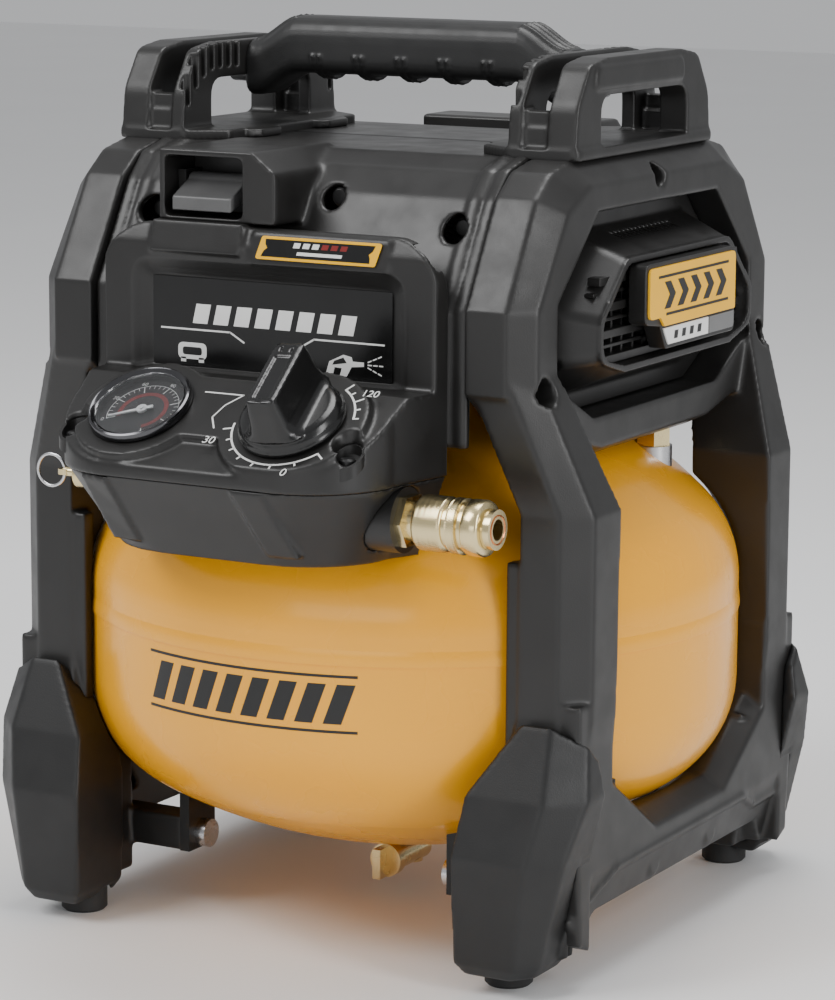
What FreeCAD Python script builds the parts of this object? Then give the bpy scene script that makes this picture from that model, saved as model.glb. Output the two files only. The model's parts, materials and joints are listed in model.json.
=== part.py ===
"""Cordless pancake air compressor: round tank, two moulded side frames, cowled pump, front control panel.

Frame: +X is the object's right side, -Y its front (control panel), +Z up.
The origin is on the floor, midway between the four rubber feet.
Each function builds one sub-part; the table at the end writes one STEP per sub-part.
"""
import FreeCAD, Part
import math
import os

V = FreeCAD.Vector

# ---------------------------------------------------------------- driving dimensions (mm)
# Tank
TANK_R = 150.0
TANK_WALL = 2.0
CORNER_R = 52.0
STRAIGHT_LOW = 106.0
STRAIGHT_HIGH = 151.0
CROWN_RISE = 92.84
BELLY_DROP = 77.95
SEAM_Z = 138.0
LIP_HEIGHT = 8.0
LIP_GAP = 0.2


def dome_radius(rise):
    """Radius of the dome that climbs by rise from the straight side, past the rounded corner."""
    flat = TANK_R - CORNER_R
    return (flat ** 2 + rise ** 2 - CORNER_R ** 2) / (2 * (rise - CORNER_R))


TOP_DOME_R = dome_radius(CROWN_RISE)
BOTTOM_DOME_R = dome_radius(BELLY_DROP)
# Side frames: their plan follows the tank
RING_IN = TANK_R - 57.0
RING_FRONT = RING_IN + 19.5
RING_OUT = RING_IN + 30.0
RING_Y = TANK_R - 25.0
RING_TOP = 350.0
VALANCE_Z = 221.0
LEG_OUT = TANK_R - 6.0
LEG_Y = TANK_R - 37.0
CHAMFER = 11.0
WINDOW_Y = LEG_Y - 34.0
SILL_Z = 63.0
SILL_DROP = 8.0
FLANGE_TOP = 184.0
BAR_BOTTOM = 29.0
SKIN = 6.0
FRAME_GAP = 1.0
# Feet and boots
FOOT_R = 10.5
FOOT_X = LEG_OUT - 34.0
FOOT_Y = LEG_Y - 2.0
CORE_BOTTOM = 14.0
BOOT_BOTTOM = 8.0
BOOT_TOP = 117.0
# Grille opening
GRILLE_Z = RING_TOP - 66.0
GRILLE_Y = RING_Y - 28.0
GRILLE_H = 44.0
GRILLE_WALL = 3.0
GRILLE_FACE = RING_OUT + 9.0
BADGE_OUT = RING_OUT + 17.0
# Cowl
COWL_Y = RING_Y - 4.0
COWL_WALL = 3.0
COWL_BOTTOM = 232.0
# Handle
ARCH_BASE = RING_Y - 57.0
ARCH_TOP = 391.0
ARCH_OUTER = (RING_IN + 8.0, RING_IN + 22.0)
ARCH_INNER = (RING_IN - 11.0, RING_IN - 4.5)
GRIP_TOP = ARCH_TOP + 12.5
GRIP_H = 27.0
GRIP_W = 30.0
GRIP_DROP = 11.0
GRIP_STRAIGHT = RING_IN - 33.0
BAR_R = 7.0
# Control panel
DECK_TILT = 32.5
DECK_Y = -TANK_R - 20.0
DECK_Z = 246.0
DIAL_X = 37.5
PAD_H = 3.5
PANEL_W = RING_IN - 9.0
PANEL_FRONT = -TANK_R - 45.0
PANEL_TOP = RING_TOP - 30.0
PANEL_WALL = 3.0
LABEL_Y = -COWL_Y - 4.5
LABEL_W = 120.0
LABEL_LOW = PANEL_TOP - 62.0
LABEL_HIGH = PANEL_TOP - 23.0
LABEL_DEPTH = 5.0
SHELF_Y = DECK_Y + 23.0
PANEL_CORNER = 24.0
PLAN_CORNER = 38.0
SEAM_PANEL = 220.0
APRON_BOTTOM = 185.0
# Controls
GAUGE_R = 23.0
KNOB_R = 23.5
KNOB_H = 27.0
COUPLER_Y = -TANK_R + 4.0
COUPLER_BORE = 4.5
SLEEVE_R = 12.0
COLLAR_R = SLEEVE_R + 2.0
COUPLER_Z = SEAM_PANEL - 1.0 - COLLAR_R
SLEEVE_TRAVEL = 4.0
SAFETY_Y = -TANK_R - 10.0
SAFETY_Z = 213.0
SAFETY_R = 6.4
SAFETY_THREAD_R = 5.0
SWITCH_X = -34.5
SWITCH_W = 39.0
SWITCH_Y = -COWL_Y + 11.0
SWITCH_Z = RING_TOP - 14.0
# Pump
CRANK_Z = 286.0
CYLINDER_X = 36.0
BORE_R = 22.0
STROKE = 22.0
SHAFT_R = 5.0
PIN_R = 4.0
DECK_END = -82.0
HEAD_W = BORE_R + 9.0
HEAD_H = BORE_R + 4.0
HEAD_DEPTH = 18.0
# Clearances
GAP = 0.3
RUN = 0.05


# ---------------------------------------------------------------- helpers
def box(x0, x1, y0, y1, z0, z1):
    return Part.makeBox(x1 - x0, y1 - y0, z1 - z0, V(x0, y0, z0))


def rod(start, direction, radius, length):
    return Part.makeCylinder(radius, length, V(*start), V(*direction))


def tube(start, direction, outer, inner, length):
    return rod(start, direction, outer, length).cut(rod(start, direction, inner, length))


def loop(points):
    corners = [V(*p) for p in points]
    return Part.makePolygon(corners + corners[:1])


def prism_x(points, x0, x1):
    return Part.Face(loop([(x0, y, z) for y, z in points])).extrude(V(x1 - x0, 0, 0))


def prism_y(points, y0, y1):
    return Part.Face(loop([(x, y0, z) for x, z in points])).extrude(V(0, y1 - y0, 0))


def prism_z(points, z0, z1):
    return Part.Face(loop([(x, y, z0) for x, y in points])).extrude(V(0, 0, z1 - z0))


def loft(sections):
    return Part.makeLoft([loop(s) for s in sections], True, True)


def union(shapes):
    joined = shapes[0]
    for shape in shapes[1:]:
        joined = joined.fuse(shape)
    return joined.removeSplitter()


def flip_x(shape):
    return shape.mirror(V(0, 0, 0), V(1, 0, 0))


def flip_y(shape):
    return shape.mirror(V(0, 0, 0), V(0, 1, 0))


def four_corners(shape):
    """The shape and its copies at the other three corners."""
    right = [shape, flip_y(shape)]
    return right + [flip_x(s) for s in right]


def pipe(points, radius):
    """Round bar along straight runs, with a ball at each bend."""
    pieces = []
    for start, end in zip(points, points[1:]):
        run = V(*end) - V(*start)
        pieces.append(Part.makeCylinder(radius, run.Length, V(*start), run))
    for corner in points[1:-1]:
        pieces.append(Part.makeSphere(radius, V(*corner)))
    return union(pieces)


def both_signs(points):
    """A closed outline from its right-hand half, given top to bottom."""
    return points + [(-a, b) for a, b in reversed(points)]


def place_on_deck(shape):
    """Move a shape from the deck's own axes (z out of the sloped face) into the object's."""
    moved = shape.copy()
    moved.Placement = FreeCAD.Placement(V(0, DECK_Y, DECK_Z), FreeCAD.Rotation(V(1, 0, 0), DECK_TILT))
    return moved


# ---------------------------------------------------------------- tank
def tank_half(inset, corner_z, dome_r, up, base_z):
    """Solid of revolution for one half of the tank, from base_z to its dome, inset by a wall."""
    corner_x = TANK_R - CORNER_R
    span = dome_r - CORNER_R
    rise = math.sqrt(span ** 2 - corner_x ** 2)
    dome_z = corner_z - up * rise
    corner_r = CORNER_R - inset
    outer_r = dome_r - inset
    lean = math.atan2(rise, corner_x)

    def at(radius, cx, cz, angle):
        return V(cx + radius * math.cos(angle), 0, cz + up * radius * math.sin(angle))

    side = V(TANK_R - inset, 0, corner_z)
    tangent = at(outer_r, 0, dome_z, lean)
    apex = at(outer_r, 0, dome_z, math.pi / 2)
    half_lean = (lean + math.pi / 2) / 2
    edges = [
        Part.makeLine(V(0, 0, base_z), V(TANK_R - inset, 0, base_z)),
        Part.makeLine(V(TANK_R - inset, 0, base_z), side),
        Part.Arc(side, at(corner_r, corner_x, corner_z, lean / 2), tangent).toShape(),
        Part.Arc(tangent, at(outer_r, 0, dome_z, half_lean), apex).toShape(),
        Part.makeLine(apex, V(0, 0, base_z)),
    ]
    return Part.Face(Part.Wire(edges)).revolve(V(0, 0, 0), V(0, 0, 1), 360)


def upper_half(inset, base_z):
    return tank_half(inset, STRAIGHT_HIGH, TOP_DOME_R, 1, base_z)


def lower_half(inset, base_z):
    return tank_half(inset, STRAIGHT_LOW, BOTTOM_DOME_R, -1, base_z)


def tank_envelope(gap):
    return upper_half(-gap, SEAM_Z).fuse(lower_half(-gap, SEAM_Z))


def dome_height(radius):
    """Height of the tank's top dome at a distance from its axis."""
    corner_x = TANK_R - CORNER_R
    rise = math.sqrt((TOP_DOME_R - CORNER_R) ** 2 - corner_x ** 2)
    return STRAIGHT_HIGH - rise + math.sqrt(TOP_DOME_R ** 2 - radius ** 2)


def bottom_height(radius):
    corner_x = TANK_R - CORNER_R
    rise = math.sqrt((BOTTOM_DOME_R - CORNER_R) ** 2 - corner_x ** 2)
    return STRAIGHT_LOW + rise - math.sqrt(BOTTOM_DOME_R ** 2 - radius ** 2)


CHECK_X, CHECK_Y = TANK_R - 48.0, 40.0
OUTLET_X, OUTLET_Y = -10.0, 20.0 - TANK_R
PORT_BORE = 5.0
PORT_R = 9.0


def port_holes():
    check = rod((CHECK_X, CHECK_Y, SEAM_Z), (0, 0, 1), PORT_R, 2 * TANK_R)
    outlet = rod((OUTLET_X, OUTLET_Y, SEAM_Z), (0, 0, 1), PORT_R, 2 * TANK_R)
    return check.fuse(outlet)


def tank_upper_shell():
    shell = upper_half(0, SEAM_Z).cut(upper_half(TANK_WALL, SEAM_Z - 1))
    return shell.cut(port_holes())


def tank_lower_shell():
    """Bottom shell, its rim stepped inwards so that the top shell laps over it at the weld."""
    shell = lower_half(0, SEAM_Z).cut(lower_half(TANK_WALL, SEAM_Z + 1))
    inside = TANK_R - TANK_WALL
    band = tube((0, 0, SEAM_Z - LIP_HEIGHT), (0, 0, 1), inside, inside - TANK_WALL, LIP_HEIGHT - 2)
    lip = tube((0, 0, SEAM_Z - 2 - LIP_HEIGHT / 2), (0, 0, 1), inside - LIP_GAP,
               inside - TANK_WALL, 2 + 1.5 * LIP_HEIGHT)
    drain = rod((0, 0, 0), (0, 0, 1), PORT_R, SEAM_Z)
    return union([shell, band, lip]).cut(drain)


def tank_ports():
    """Threaded bosses welded into the shells: check valve, outlet and drain."""
    pieces = []
    for x, y in ((CHECK_X, CHECK_Y), (OUTLET_X, OUTLET_Y)):
        z = dome_height(math.hypot(x, y))
        pieces.append(tube((x, y, z - 14), (0, 0, 1), PORT_R, PORT_BORE, 17))
    z = bottom_height(0)
    pieces.append(tube((0, 0, z - 4), (0, 0, 1), PORT_R, PORT_BORE, 12))
    return Part.Compound(pieces)


TAB_X = TANK_R - 78.0
TAB_Y = LEG_Y - 35.0
TAB_T = 5.0
ARM_LOW = 26.0
ARM_HIGH = 42.0
BOLT_R = 4.0
BOLT_GRIP = 20.0
BOLT_Z = (ARM_LOW + ARM_HIGH) / 2


def tank_brackets():
    """Steel tabs welded under the tank, where the frames' arms bolt on."""
    tab = box(TAB_X - TAB_T, TAB_X, TAB_Y - 11, TAB_Y + 11, ARM_LOW + 1, 80)
    tab = tab.cut(tank_envelope(0))
    tab = tab.cut(rod((TAB_X - TAB_T - 1, TAB_Y, BOLT_Z), (1, 0, 0), BOLT_R + 0.1, TAB_T + 2))
    low = min(tab.Solids, key=lambda s: s.BoundBox.ZMin)
    return Part.Compound(four_corners(low) + [tank_saddle()])


def tank_bolts():
    head = rod((TAB_X - TAB_T - 5, TAB_Y, BOLT_Z), (1, 0, 0), 6.5, 5)
    shank = rod((TAB_X - TAB_T, TAB_Y, BOLT_Z), (1, 0, 0), BOLT_R, TAB_T + BOLT_GRIP)
    return Part.Compound(four_corners(head.fuse(shank).removeSplitter()))


DRAIN_Z = 17.0


def drain_valve_body():
    stem = rod((0, 0, DRAIN_Z - 6), (0, 0, 1), 5.0, bottom_height(0) + 6 - DRAIN_Z + 6)
    barrel = rod((0, 7, DRAIN_Z), (0, -1, 0), 6.5, 27)
    body = union([stem, barrel])
    body = body.cut(rod((0, 0, DRAIN_Z), (0, 0, 1), 2.5, 60))
    return body.cut(rod((0, -6, DRAIN_Z), (0, -1, 0), 3.0 + RUN, 20))


def drain_valve_knob():
    spindle = rod((0, -8, DRAIN_Z), (0, -1, 0), 3.0, 14)
    disc = rod((0, -20.5, DRAIN_Z), (0, -1, 0), 8.0, 5)
    wing = box(-2, 2, -34, -25, DRAIN_Z - 7, DRAIN_Z + 7)
    return union([spindle, disc, wing])


# ---------------------------------------------------------------- side frames and boots
def corner_section(z, inner, front, side, y_front, y_side, y_rear, x_rear):
    """Cross-section of a front-right leg at one height, clockwise from its inner front corner."""
    return [(inner, -y_front, z), (front, -y_front, z), (side, -y_side, z), (side, -y_rear, z),
            (x_rear, -y_rear, z)]


def leg_core():
    """Front-right leg: straight at the ring, flaring out, straight again, then into the boot."""
    out = LEG_OUT
    sections = [
        corner_section(292, RING_IN, RING_FRONT, RING_OUT, RING_Y, RING_Y - CHAMFER, GRILLE_Y + 2, RING_IN),
        corner_section(264, RING_IN, RING_FRONT, RING_OUT, RING_Y, RING_Y - CHAMFER, GRILLE_Y - 1, RING_IN),
        corner_section(205, out - 30, out - 11.7, out, LEG_Y, LEG_Y - CHAMFER, WINDOW_Y - 2, out - 40),
        corner_section(BOOT_TOP, out - 30, out - 11.7, out, LEG_Y, LEG_Y - CHAMFER, WINDOW_Y, out - 40),
        corner_section(80, out - 38, out - 14, out - 3, LEG_Y + 7, LEG_Y - 3, WINDOW_Y, out - 40),
        corner_section(CORE_BOTTOM, out - 44, out - 27, out - 18,
                       LEG_Y + 12, LEG_Y + 3, WINDOW_Y + 6, out - 44),
    ]
    return loft(sections)


def boot_outer():
    out = LEG_OUT
    sections = [
        corner_section(BOOT_TOP, out - 26, out - 12, out + 0.8, LEG_Y + 5, LEG_Y - 6, LEG_Y - 10, out - 26),
        corner_section(86, out - 46, out - 9, out + 6, LEG_Y + 18, LEG_Y + 4, LEG_Y - 13, out - 46),
        corner_section(60, out - 49, out - 14, out, LEG_Y + 25, LEG_Y + 14, LEG_Y - 13, out - 49),
        corner_section(CORE_BOTTOM, out - 48, out - 19, out - 11,
                       LEG_Y + 24, LEG_Y + 15, LEG_Y - 13, out - 48),
        corner_section(BOOT_BOTTOM, out - 44, out - 22, out - 15,
                       LEG_Y + 20, LEG_Y + 11, LEG_Y - 11, out - 44),
    ]
    return loft(sections)


def octagon(inset):
    """Grille opening's outline in side view, drawn in by inset all round."""
    corner = 0.41 * inset
    return both_signs([
        (GRILLE_Y - 37 - corner, GRILLE_Z + GRILLE_H - inset), (GRILLE_Y - inset, GRILLE_Z + 8 - corner),
        (GRILLE_Y - inset, GRILLE_Z - 26 + corner), (GRILLE_Y - 35 - corner, GRILLE_Z - GRILLE_H + inset)])


def ring_outline(inset):
    """Outline of the frame's upper ring in side view."""
    return both_signs([
        (ARCH_BASE, RING_TOP - inset), (RING_Y - 39 - inset, RING_TOP - 4 - inset),
        (RING_Y - 26 - inset, RING_TOP - 14 - 0.6 * inset), (RING_Y - inset, RING_TOP - 59),
        (RING_Y - inset, VALANCE_Z + 35), (RING_Y - 25, VALANCE_Z + 15),
        (WINDOW_Y - 25, VALANCE_Z + 0.5 * inset)])


def side_frame():
    """Right-hand frame: upper ring, two legs and a foot bar, open where the tank shows."""
    body = prism_x(ring_outline(0), RING_IN, RING_FRONT)
    bevel = loft([[(RING_FRONT, y, z) for y, z in ring_outline(0)],
                  [(RING_OUT, y, z) for y, z in ring_outline(CHAMFER - 1)]])
    plate = both_signs([
        (LEG_Y - 1, 125), (LEG_Y - 1, 60), (LEG_Y - 4, 20), (LEG_Y - 16, CORE_BOTTOM + 1),
        (LEG_Y - 29, BAR_BOTTOM),
        (0.01, BAR_BOTTOM)])
    foot_bar = prism_x(plate, LEG_OUT - 24, LEG_OUT - 1)
    pocket = prism_x([(LEG_Y - 15, 112), (LEG_Y - 15, 62), (LEG_Y - 25, 44), (WINDOW_Y - 29, 42),
                      (WINDOW_Y + 6, 92), (WINDOW_Y + 6, 112)], LEG_OUT - 60, LEG_OUT - SKIN)
    foot_bar = foot_bar.cut(pocket).cut(flip_y(pocket))
    window = [(WINDOW_Y - 25, VALANCE_Z), (WINDOW_Y - 2, 185), (WINDOW_Y, 92), (WINDOW_Y - 45, SILL_Z)]
    above = prism_x(both_signs(window), TAB_X - 12, TANK_R + 50)
    deep = [(y, z) for y, z in window[:2]] + [(WINDOW_Y, 84), (WINDOW_Y - 43, SILL_Z - SILL_DROP)]
    chamfer = loft([[(LEG_OUT - 11, y, z) for y, z in both_signs(window)],
                    [(LEG_OUT, y, z) for y, z in both_signs(deep)]])
    above = above.fuse(chamfer)
    flange = box(LEG_OUT - 37, LEG_OUT - 28, 1 - LEG_Y, 9 - LEG_Y, BOOT_TOP - 20, FLANGE_TOP)
    leg = leg_core().fuse(flange).cut(above)
    arm = box(TAB_X, LEG_OUT - 20, TAB_Y - 8, TAB_Y + 8, ARM_LOW, ARM_HIGH)
    body = union([body, bevel, foot_bar.cut(above), leg, flip_y(leg), arm, flip_y(arm)])
    body = body.cut(prism_x(octagon(0), RING_IN - 1, RING_OUT + 1))
    draft = prism_y([(LEG_OUT + 1, 50), (LEG_OUT + 1, 0), (LEG_OUT - 14, 0), (LEG_OUT - 1.01, 50)],
                    14 - LEG_Y, LEG_Y - 14)
    body = body.cut(draft)
    bolt_hole = rod((TAB_X - 1, TAB_Y, BOLT_Z), (1, 0, 0), BOLT_R, BOLT_GRIP + 2)
    fitting_room = box(RING_IN - 1, RING_FRONT - 1.5, CHECK_Y - 14, CHECK_Y + 14,
                       VALANCE_Z - 5, VALANCE_Z + 18)
    for cutter in (bolt_hole, flip_y(bolt_hole), fitting_room, tank_envelope(FRAME_GAP), screw_pockets()):
        body = body.cut(cutter)
    return max(body.Solids, key=lambda s: s.Volume)


SCREW_Y = RING_Y - 16.0
SCREW_Z = VALANCE_Z + 36.0
TOP_SCREW_Z = RING_TOP - 11.0
POCKET_R = 6.0


def screw_pockets():
    """Counterbores for the frame's screws, at the front, rear and top of the ring."""
    sides = [rod((RING_FRONT - 4, sy * SCREW_Y, SCREW_Z), (1, 0, 0), POCKET_R, 40) for sy in (-1, 1)]
    top = rod((RING_FRONT - 4, 0, TOP_SCREW_Z), (1, 0, 0), POCKET_R - 1, 40)
    return sides[0].fuse(sides[1]).fuse(top)


def boot():
    """Front-right corner boot, wrapped round the foot of the leg."""
    slope = prism_x([(-LEG_Y - 90, 200), (-LEG_Y + 53, 200), (-LEG_Y + 53, 60), (-LEG_Y - 5, BOOT_TOP),
                     (-LEG_Y - 90, BOOT_TOP)], 0, 2 * TANK_R)
    shape = boot_outer().cut(slope).cut(right_frame).cut(tank_envelope(FRAME_GAP))
    foot_room = rod((FOOT_X, -FOOT_Y, -1), (0, 0, 1), FOOT_R + 1, CORE_BOTTOM + 1)
    shape = shape.cut(foot_room)
    return max(shape.Solids, key=lambda s: s.Volume)


def rubber_feet():
    foot = rod((FOOT_X, FOOT_Y, 0), (0, 0, 1), FOOT_R, CORE_BOTTOM)
    foot = foot.makeChamfer(1.2, [e for e in foot.Edges if e.BoundBox.ZMax < 0.1])
    return Part.Compound(four_corners(foot))


def frame_screws():
    """Screws that hold the side frames to the cowl, three a side."""
    pieces = []
    for y, z in ((-SCREW_Y, SCREW_Z), (SCREW_Y, SCREW_Z), (0, TOP_SCREW_Z)):
        head = rod((RING_FRONT - 4, y, z), (1, 0, 0), 4.2, 3)
        recess = box(RING_FRONT - 2.4, RING_FRONT + 1, y - 2.6, y + 2.6, z - 0.6, z + 0.6)
        cross = box(RING_FRONT - 2.4, RING_FRONT + 1, y - 0.6, y + 0.6, z - 2.6, z + 2.6)
        screw = head.cut(recess).cut(cross)
        pieces += [screw, flip_x(screw)]
    return Part.Compound(pieces)


# ---------------------------------------------------------------- grilles
BADGE_W = 88.0
BADGE_T = 3.0
BADGE_LOW = GRILLE_Z - 16.0
BADGE_HIGH = GRILLE_Z + 13.0
SLOT_PITCH = 7.0
SLOT_H = 4.2
RIB_PITCH = 15.0


def grille():
    """Right-hand air inlet: a recessed rim and a raised, slotted face."""
    rim = prism_x(octagon(0), RING_IN + 4, RING_IN + 12)
    base, face = RING_IN + 12, GRILLE_FACE
    dome = loft([[(base, y, z) for y, z in octagon(9)], [(face, y, z) for y, z in octagon(19)]])
    inside = loft([[(base, y, z) for y, z in octagon(9 + GRILLE_WALL)],
                   [(face - GRILLE_WALL, y, z) for y, z in octagon(19 + 1.5)]])
    shape = rim.cut(prism_x(octagon(9 + GRILLE_WALL), RING_IN, base)).fuse(dome.cut(inside)).removeSplitter()
    slots = []
    field = prism_x(octagon(23), base, face + 1)
    for row in range(-3, 4):
        z = GRILLE_Z - 3 + row * SLOT_PITCH
        for column in range(-5, 5):
            y = column * RIB_PITCH + 1.2
            slots.append(box(face - 8, face + 1, y, y + RIB_PITCH - 2.4, z, z + SLOT_H))
    bracket = box(face - GRILLE_WALL, face, -BADGE_W / 2 - 3, BADGE_W / 2 + 3, BADGE_LOW - 5, BADGE_HIGH + 3)
    shape = shape.cut(Part.Compound([s.common(field) for s in slots]))
    rest = box(face, BADGE_OUT - BADGE_T, -BADGE_W / 2 - 1, BADGE_W / 2 + 1, BADGE_LOW - 3, BADGE_HIGH + 1)
    shape = union([shape, bracket, rest])
    return max(shape.Solids, key=lambda s: s.Volume)


def grille_badges():
    badge = box(BADGE_OUT - BADGE_T, BADGE_OUT, -BADGE_W / 2, BADGE_W / 2, BADGE_LOW, BADGE_HIGH)
    return Part.Compound([badge, flip_x(badge)])


# ---------------------------------------------------------------- cowl
def cowl_outline(inset):
    return both_signs([
        (COWL_Y - 55 - 0.3 * inset, RING_TOP - inset), (COWL_Y - 37 - 0.7 * inset, RING_TOP - 5 - inset),
        (COWL_Y - 25.5 - 0.9 * inset, RING_TOP - 16 - 0.7 * inset), (COWL_Y - inset, RING_TOP - 60),
        (COWL_Y - inset, COWL_BOTTOM)])


def cowl_shell():
    outer = prism_x(cowl_outline(0), -RING_IN, RING_IN)
    lower = [(y, z) for y, z in cowl_outline(COWL_WALL)]
    lower[4] = (COWL_Y - COWL_WALL, COWL_BOTTOM - 1)
    lower[5] = (-(COWL_Y - COWL_WALL), COWL_BOTTOM - 1)
    shell = outer.cut(prism_x(lower, -RING_IN - 1, RING_IN + 1))
    return shell.cut(tank_envelope(FRAME_GAP))


HOOD_LOW = RING_TOP - 29.0
HOOD_HIGH = RING_TOP + 2.0
REACH = 2 * TANK_R


def front_cowl():
    """Front half of the cowl with the hood over the power switch."""
    half = cowl_shell().common(box(-REACH, REACH, -REACH, 0, 0, REACH + RING_TOP))
    left = SWITCH_X - SWITCH_W / 2
    right = SWITCH_X + SWITCH_W / 2
    hood = prism_y([(left - 2.5, HOOD_LOW), (left - 2.5, HOOD_HIGH),
                    (right + 5, HOOD_HIGH), (right + 17, HOOD_HIGH - 9),
                    (right + 17, HOOD_LOW)], -COWL_Y - 5, -COWL_Y + 61)
    hood = hood.cut(prism_x(cowl_outline(COWL_WALL), -RING_IN, RING_IN))
    shape = union([half, hood])
    shape = shape.cut(box(left, right, -COWL_Y - 9, -COWL_Y + 51, HOOD_LOW + 2, HOOD_HIGH - 3))
    return max(shape.Solids, key=lambda s: s.Volume)


def rear_cowl():
    """Rear half of the cowl, open where the battery terminals come through."""
    half = cowl_shell().common(box(-REACH, REACH, 0, REACH, 0, REACH + RING_TOP))
    return half.cut(terminal_hole())


RAIL_X = 36.0
RAIL_T = 10.0
BAY_BACK = COWL_Y + 6.0
BAY_LOW = 240.0
BAY_HIGH = RING_TOP - 12.0
TERMINAL_W = 40.0
TERMINAL_LOW = 262.0
TERMINAL_HIGH = 292.0


def terminal_hole():
    return box(-TERMINAL_W / 2, TERMINAL_W / 2, COWL_Y - 21, BAY_BACK + 1, TERMINAL_LOW, TERMINAL_HIGH)


# The battery guards reach as far back as the knob's grip reaches forward.
BAY_OUT = (19.5 * math.cos(math.radians(DECK_TILT)) + KNOB_H * math.sin(math.radians(DECK_TILT))) - DECK_Y


def battery_receiver():
    """Back plate with two grooved rails for a slide-on battery, between two side guards."""
    half = RAIL_X + RAIL_T
    plate = box(-half, half, COWL_Y, BAY_BACK, BAY_LOW, BAY_HIGH).cut(terminal_hole())
    floor = BAY_LOW + 6
    guard = prism_x([(BAY_BACK, floor), (BAY_OUT - 16, floor + 4), (BAY_OUT, floor + 18),
                     (BAY_OUT, BAY_HIGH - 42),
                      (BAY_OUT - 40, BAY_HIGH - 12), (BAY_BACK, BAY_HIGH)], RAIL_X, half)
    lip = box(RAIL_X - 6, RAIL_X, BAY_BACK + 13, BAY_BACK + 18, floor, BAY_HIGH - 8)
    hood = prism_x([(COWL_Y - 33, RING_TOP - 9), (COWL_Y - 33, RING_TOP + 3), (COWL_Y - 7, RING_TOP + 3),
                    (BAY_BACK, RING_TOP - 8), (BAY_BACK, BAY_HIGH - 18), (COWL_Y, BAY_HIGH - 18),
                    (COWL_Y, RING_TOP - 9)], -half, half)
    hood = hood.cut(prism_x(cowl_outline(0), -RING_IN, RING_IN))
    stop = box(-RAIL_X, RAIL_X, BAY_BACK, BAY_BACK + 22, BAY_LOW, floor)
    return union([plate, guard, flip_x(guard), lip, flip_x(lip), hood, stop])


def battery_terminals():
    """Insulating block with five blade contacts."""
    half = TERMINAL_W / 2 - GAP
    block = box(-half, half, COWL_Y - 9, BAY_BACK + 1, TERMINAL_LOW + GAP, TERMINAL_HIGH - GAP)
    blades = [box(x - 0.5, x + 0.5, BAY_BACK + 1, BAY_BACK + 13, TERMINAL_LOW + 4, TERMINAL_HIGH - 4)
              for x in (-14, -7, 0, 7, 14)]
    return union([block] + blades)


def controller_board():
    y = COWL_Y - 35
    board = box(-62, 58, y - 2, y, 246, 318)
    sink = box(-50, 0, y, y + 12, 256, 306)
    for k in range(6):
        sink = sink.cut(box(-46 + 8 * k, -42 + 8 * k, y + 3, y + 13, 255, 307))
    caps = [rod((14 + 14 * k, y, 300), (0, 1, 0), 5.5, 14) for k in range(3)]
    posts = [box(x - 3, x + 3, y, COWL_Y - COWL_WALL, 248, 254) for x in (-56, 52)]
    return union([board, sink] + caps + posts)


# ---------------------------------------------------------------- handle
def arch():
    """Right-hand handle arch: two plates with a slot between them on one saddle."""
    top = [(ARCH_BASE, RING_TOP), (ARCH_BASE - 3, RING_TOP + 18), (ARCH_BASE - 14, ARCH_TOP - 8),
           (ARCH_BASE - 28, ARCH_TOP)]
    outline = both_signs(list(reversed(top)))
    window = both_signs([(ARCH_BASE - 33, ARCH_TOP - 15), (ARCH_BASE - 22, RING_TOP + 4)])
    (in0, in1), (out0, out1) = ARCH_INNER, ARCH_OUTER
    outer = prism_x(outline, out0, out1).cut(prism_x(window, out0 - 1, out1 + 1))
    inner = prism_x(outline, in0, in1).cut(prism_x(window, in0 - 1, in1 + 1))
    pad = prism_x(both_signs([(ARCH_BASE - 44, ARCH_TOP - 4), (ARCH_BASE - 32, ARCH_TOP - 13)]),
                  out1, out1 + 2)
    saddle = prism_z([(out1, -ARCH_BASE), (out1, ARCH_BASE), (in0, ARCH_BASE), (in0 - 20, ARCH_BASE - 12),
                      (in0 - 20, 12 - ARCH_BASE), (in0, -ARCH_BASE)], RING_TOP, RING_TOP + 4)
    steps = [box(in1, out0, s * (ARCH_BASE - 10) - 7, s * (ARCH_BASE - 10) + 7, RING_TOP + 4, RING_TOP + 13)
             for s in (-1, 1)]
    bridge = box(in1, out0, -10, 10, ARCH_TOP - 14, ARCH_TOP - 4)
    shape = union([outer, inner, pad, saddle, bridge] + steps)
    return shape.cut(handle_rod())


def handle_rod():
    mid = GRIP_TOP - GRIP_H / 2
    drop = mid - GRIP_DROP
    ends, knee, flat = RING_IN + 3, RING_IN - 13, RING_IN - 35
    points = [(-ends, 0, drop), (-knee, 0, drop), (-flat, 0, mid),
              (flat, 0, mid), (knee, 0, drop), (ends, 0, drop)]
    return pipe(points, BAR_R)


def handle_bar():
    return handle_rod()


def handle_grip():
    """Moulded grip round the steel bar, its ends stepping down to the arches."""
    low = GRIP_TOP - GRIP_H
    end = ARCH_INNER[0]
    profile = both_signs([(GRIP_STRAIGHT, GRIP_TOP), (end, GRIP_TOP - GRIP_DROP), (end, low - GRIP_DROP),
                          (GRIP_STRAIGHT - 4, low)])
    shape = prism_y(profile, -GRIP_W / 2, GRIP_W / 2)
    edges = [e for e in shape.Edges
             if abs(e.BoundBox.YMin - e.BoundBox.YMax) < 0.01 and e.BoundBox.XLength > 1]
    shape = shape.makeFillet(9.0, edges)
    return shape.cut(handle_rod())


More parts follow.
